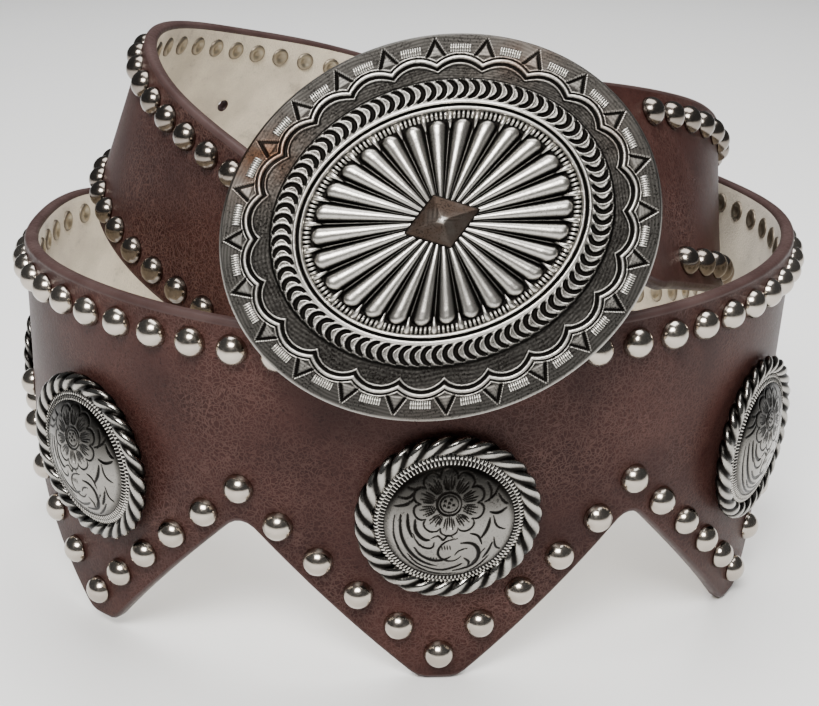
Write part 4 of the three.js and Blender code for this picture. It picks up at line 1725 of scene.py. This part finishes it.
    def build(self, looks: Looks) -> None:
        """Builds the buckle's pieces and dresses them.

        Args:
            looks: all finishes by name.
        """
        jobs = {"buckle_border": (self.border, self.back), "buckle_band": (self.band,),
                "buckle_sunburst": (self.sunburst, self.diamond)}
        for name, makers in jobs.items():
            skin = Skin()
            for maker in makers:
                maker(skin)
            piece = skin.build(name, [looks["buckle"]], self.place)
            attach(piece, "root")
            if name == "buckle_border":
                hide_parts("buckle")
            LOG.info("%s: %d faces", name, len(piece.data.polygons))


# Studio


@dataclass(frozen=True)
class Lamp:
    """One soft rectangular lamp, whose reflection shows only where it is mirrored."""

    name: str
    at: tuple[float, float, float]
    size: tuple[float, float]
    power: float
    warmth: tuple[float, float, float] = (1.0, 1.0, 1.0)
    mirrored: bool = True

    def hang(self, aim: tuple[float, float, float]) -> None:
        """Hangs the lamp.

        Args:
            aim: the place that it looks at.
        """
        data = bpy.data.lights.new(self.name, "AREA")
        data.shape, data.size, data.size_y = "RECTANGLE", self.size[0], self.size[1]
        data.energy, data.color = self.power, self.warmth
        obj = bpy.data.objects.new(self.name, data)
        obj.location = self.at
        obj.visible_glossy = self.mirrored
        obj.rotation_euler = (Vector(aim) - Vector(self.at)).to_track_quat("-Z", "Y").to_euler()
        bpy.context.scene.collection.objects.link(obj)


LAMPS = (
    Lamp("lamp_front", (-0.12, -0.75, 0.85), (0.5, 0.35), 17.0, (1.0, 0.985, 0.96)),
    Lamp("lamp_over", (0.1, 0.15, 1.1), (0.9, 0.7), 12.0),
    Lamp("lamp_back", (0.0, 1.3, 1.1), (1.6, 0.9), 18.0, mirrored=False),
    Lamp("lamp_left", (-0.9, -0.3, 0.5), (0.4, 0.6), 3.2, mirrored=False),
    Lamp("lamp_right", (0.9, -0.25, 0.55), (0.4, 0.6), 2.6, mirrored=False),
)


@dataclass
class Studio:
    """Floor, soft lights and the camera at the photograph's angle."""

    lens: float = 60.95
    sensor: float = 36.0
    camera_at: tuple[float, float, float] = (1.43, -367.4, 190.4)
    camera_down: float = 20.856
    clip: tuple[float, float] = (0.01, 20.0)
    floor_size: float = 6.0
    lamps_aim: tuple[float, float, float] = (0.0, 0.0, 0.07)
    surround: Colour = (0.9, 0.92, 0.95, 1.0)
    surround_strength: float = 0.1

    def floor(self, finish: bpy.types.Material) -> None:
        """Lays the floor.

        Args:
            finish: its finish.
        """
        side = self.floor_size / 2
        corners = [(x * side, y * side, 0.0) for x, y in ((-1, -1), (1, -1), (1, 1), (-1, 1))]
        mesh = bpy.data.meshes.new("floor")
        mesh.from_pydata(corners, [], [(0, 1, 2, 3)])
        mesh.materials.append(finish)
        obj = bpy.data.objects.new("floor", mesh)
        bpy.context.scene.collection.objects.link(obj)

    def world(self) -> None:
        """Sets an even dim surround."""
        world = bpy.data.worlds.new("studio")
        world.use_nodes = True
        back = world.node_tree.nodes["Background"]
        back.inputs["Color"].default_value = self.surround
        back.inputs["Strength"].default_value = self.surround_strength
        bpy.context.scene.world = world

    def camera(self) -> None:
        """Stands the camera where the photograph was taken from."""
        data = bpy.data.cameras.new("camera")
        data.lens, data.sensor_width, data.sensor_fit = self.lens, self.sensor, "HORIZONTAL"
        data.clip_start, data.clip_end = self.clip
        obj = bpy.data.objects.new("camera", data)
        obj.location = [v * MM for v in self.camera_at]
        obj.rotation_euler = (math.radians(90 - self.camera_down), 0, 0)
        bpy.context.scene.collection.objects.link(obj)
        bpy.context.scene.camera = obj

    def build(self, looks: Looks) -> None:
        """Sets up the whole studio.

        Args:
            looks: all finishes by name.
        """
        self.floor(looks["floor"])
        self.world()
        for lamp in LAMPS:
            lamp.hang(self.lamps_aim)
        self.camera()


def main() -> None:
    """Builds the belt and its studio."""
    logging.basicConfig(level=logging.INFO, format="%(message)s")
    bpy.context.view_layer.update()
    palette = Palette()
    looks = {
        "grain": GrainFinish().build(palette),
        "flesh": SuedeFinish().build(palette),
        "edge": EdgeFinish().build(palette),
        "stud": NickelFinish("stud_nickel").build(palette),
        "back": NickelFinish("stud_back_nickel", (0.44, 0.39, 0.3, 1.0), (0.24, 0.2, 0.15, 1.0),
                             smoothness=0.42).build(palette),
        "concho": SilverFinish("concho_silver", smoothness=0.1, dullness=0.36, mottling=0.25,
                               shows_copper=False).build(palette),
        "buckle": SilverFinish("buckle_silver").build(palette),
        "floor": FloorFinish().build(palette),
    }
    strap = Strap(Coil())
    strap.build(looks)
    Conchos(strap).build(looks)
    Buckle(strap).build(looks)
    Studio().build(looks)


if __name__ == "__main__":
    main()
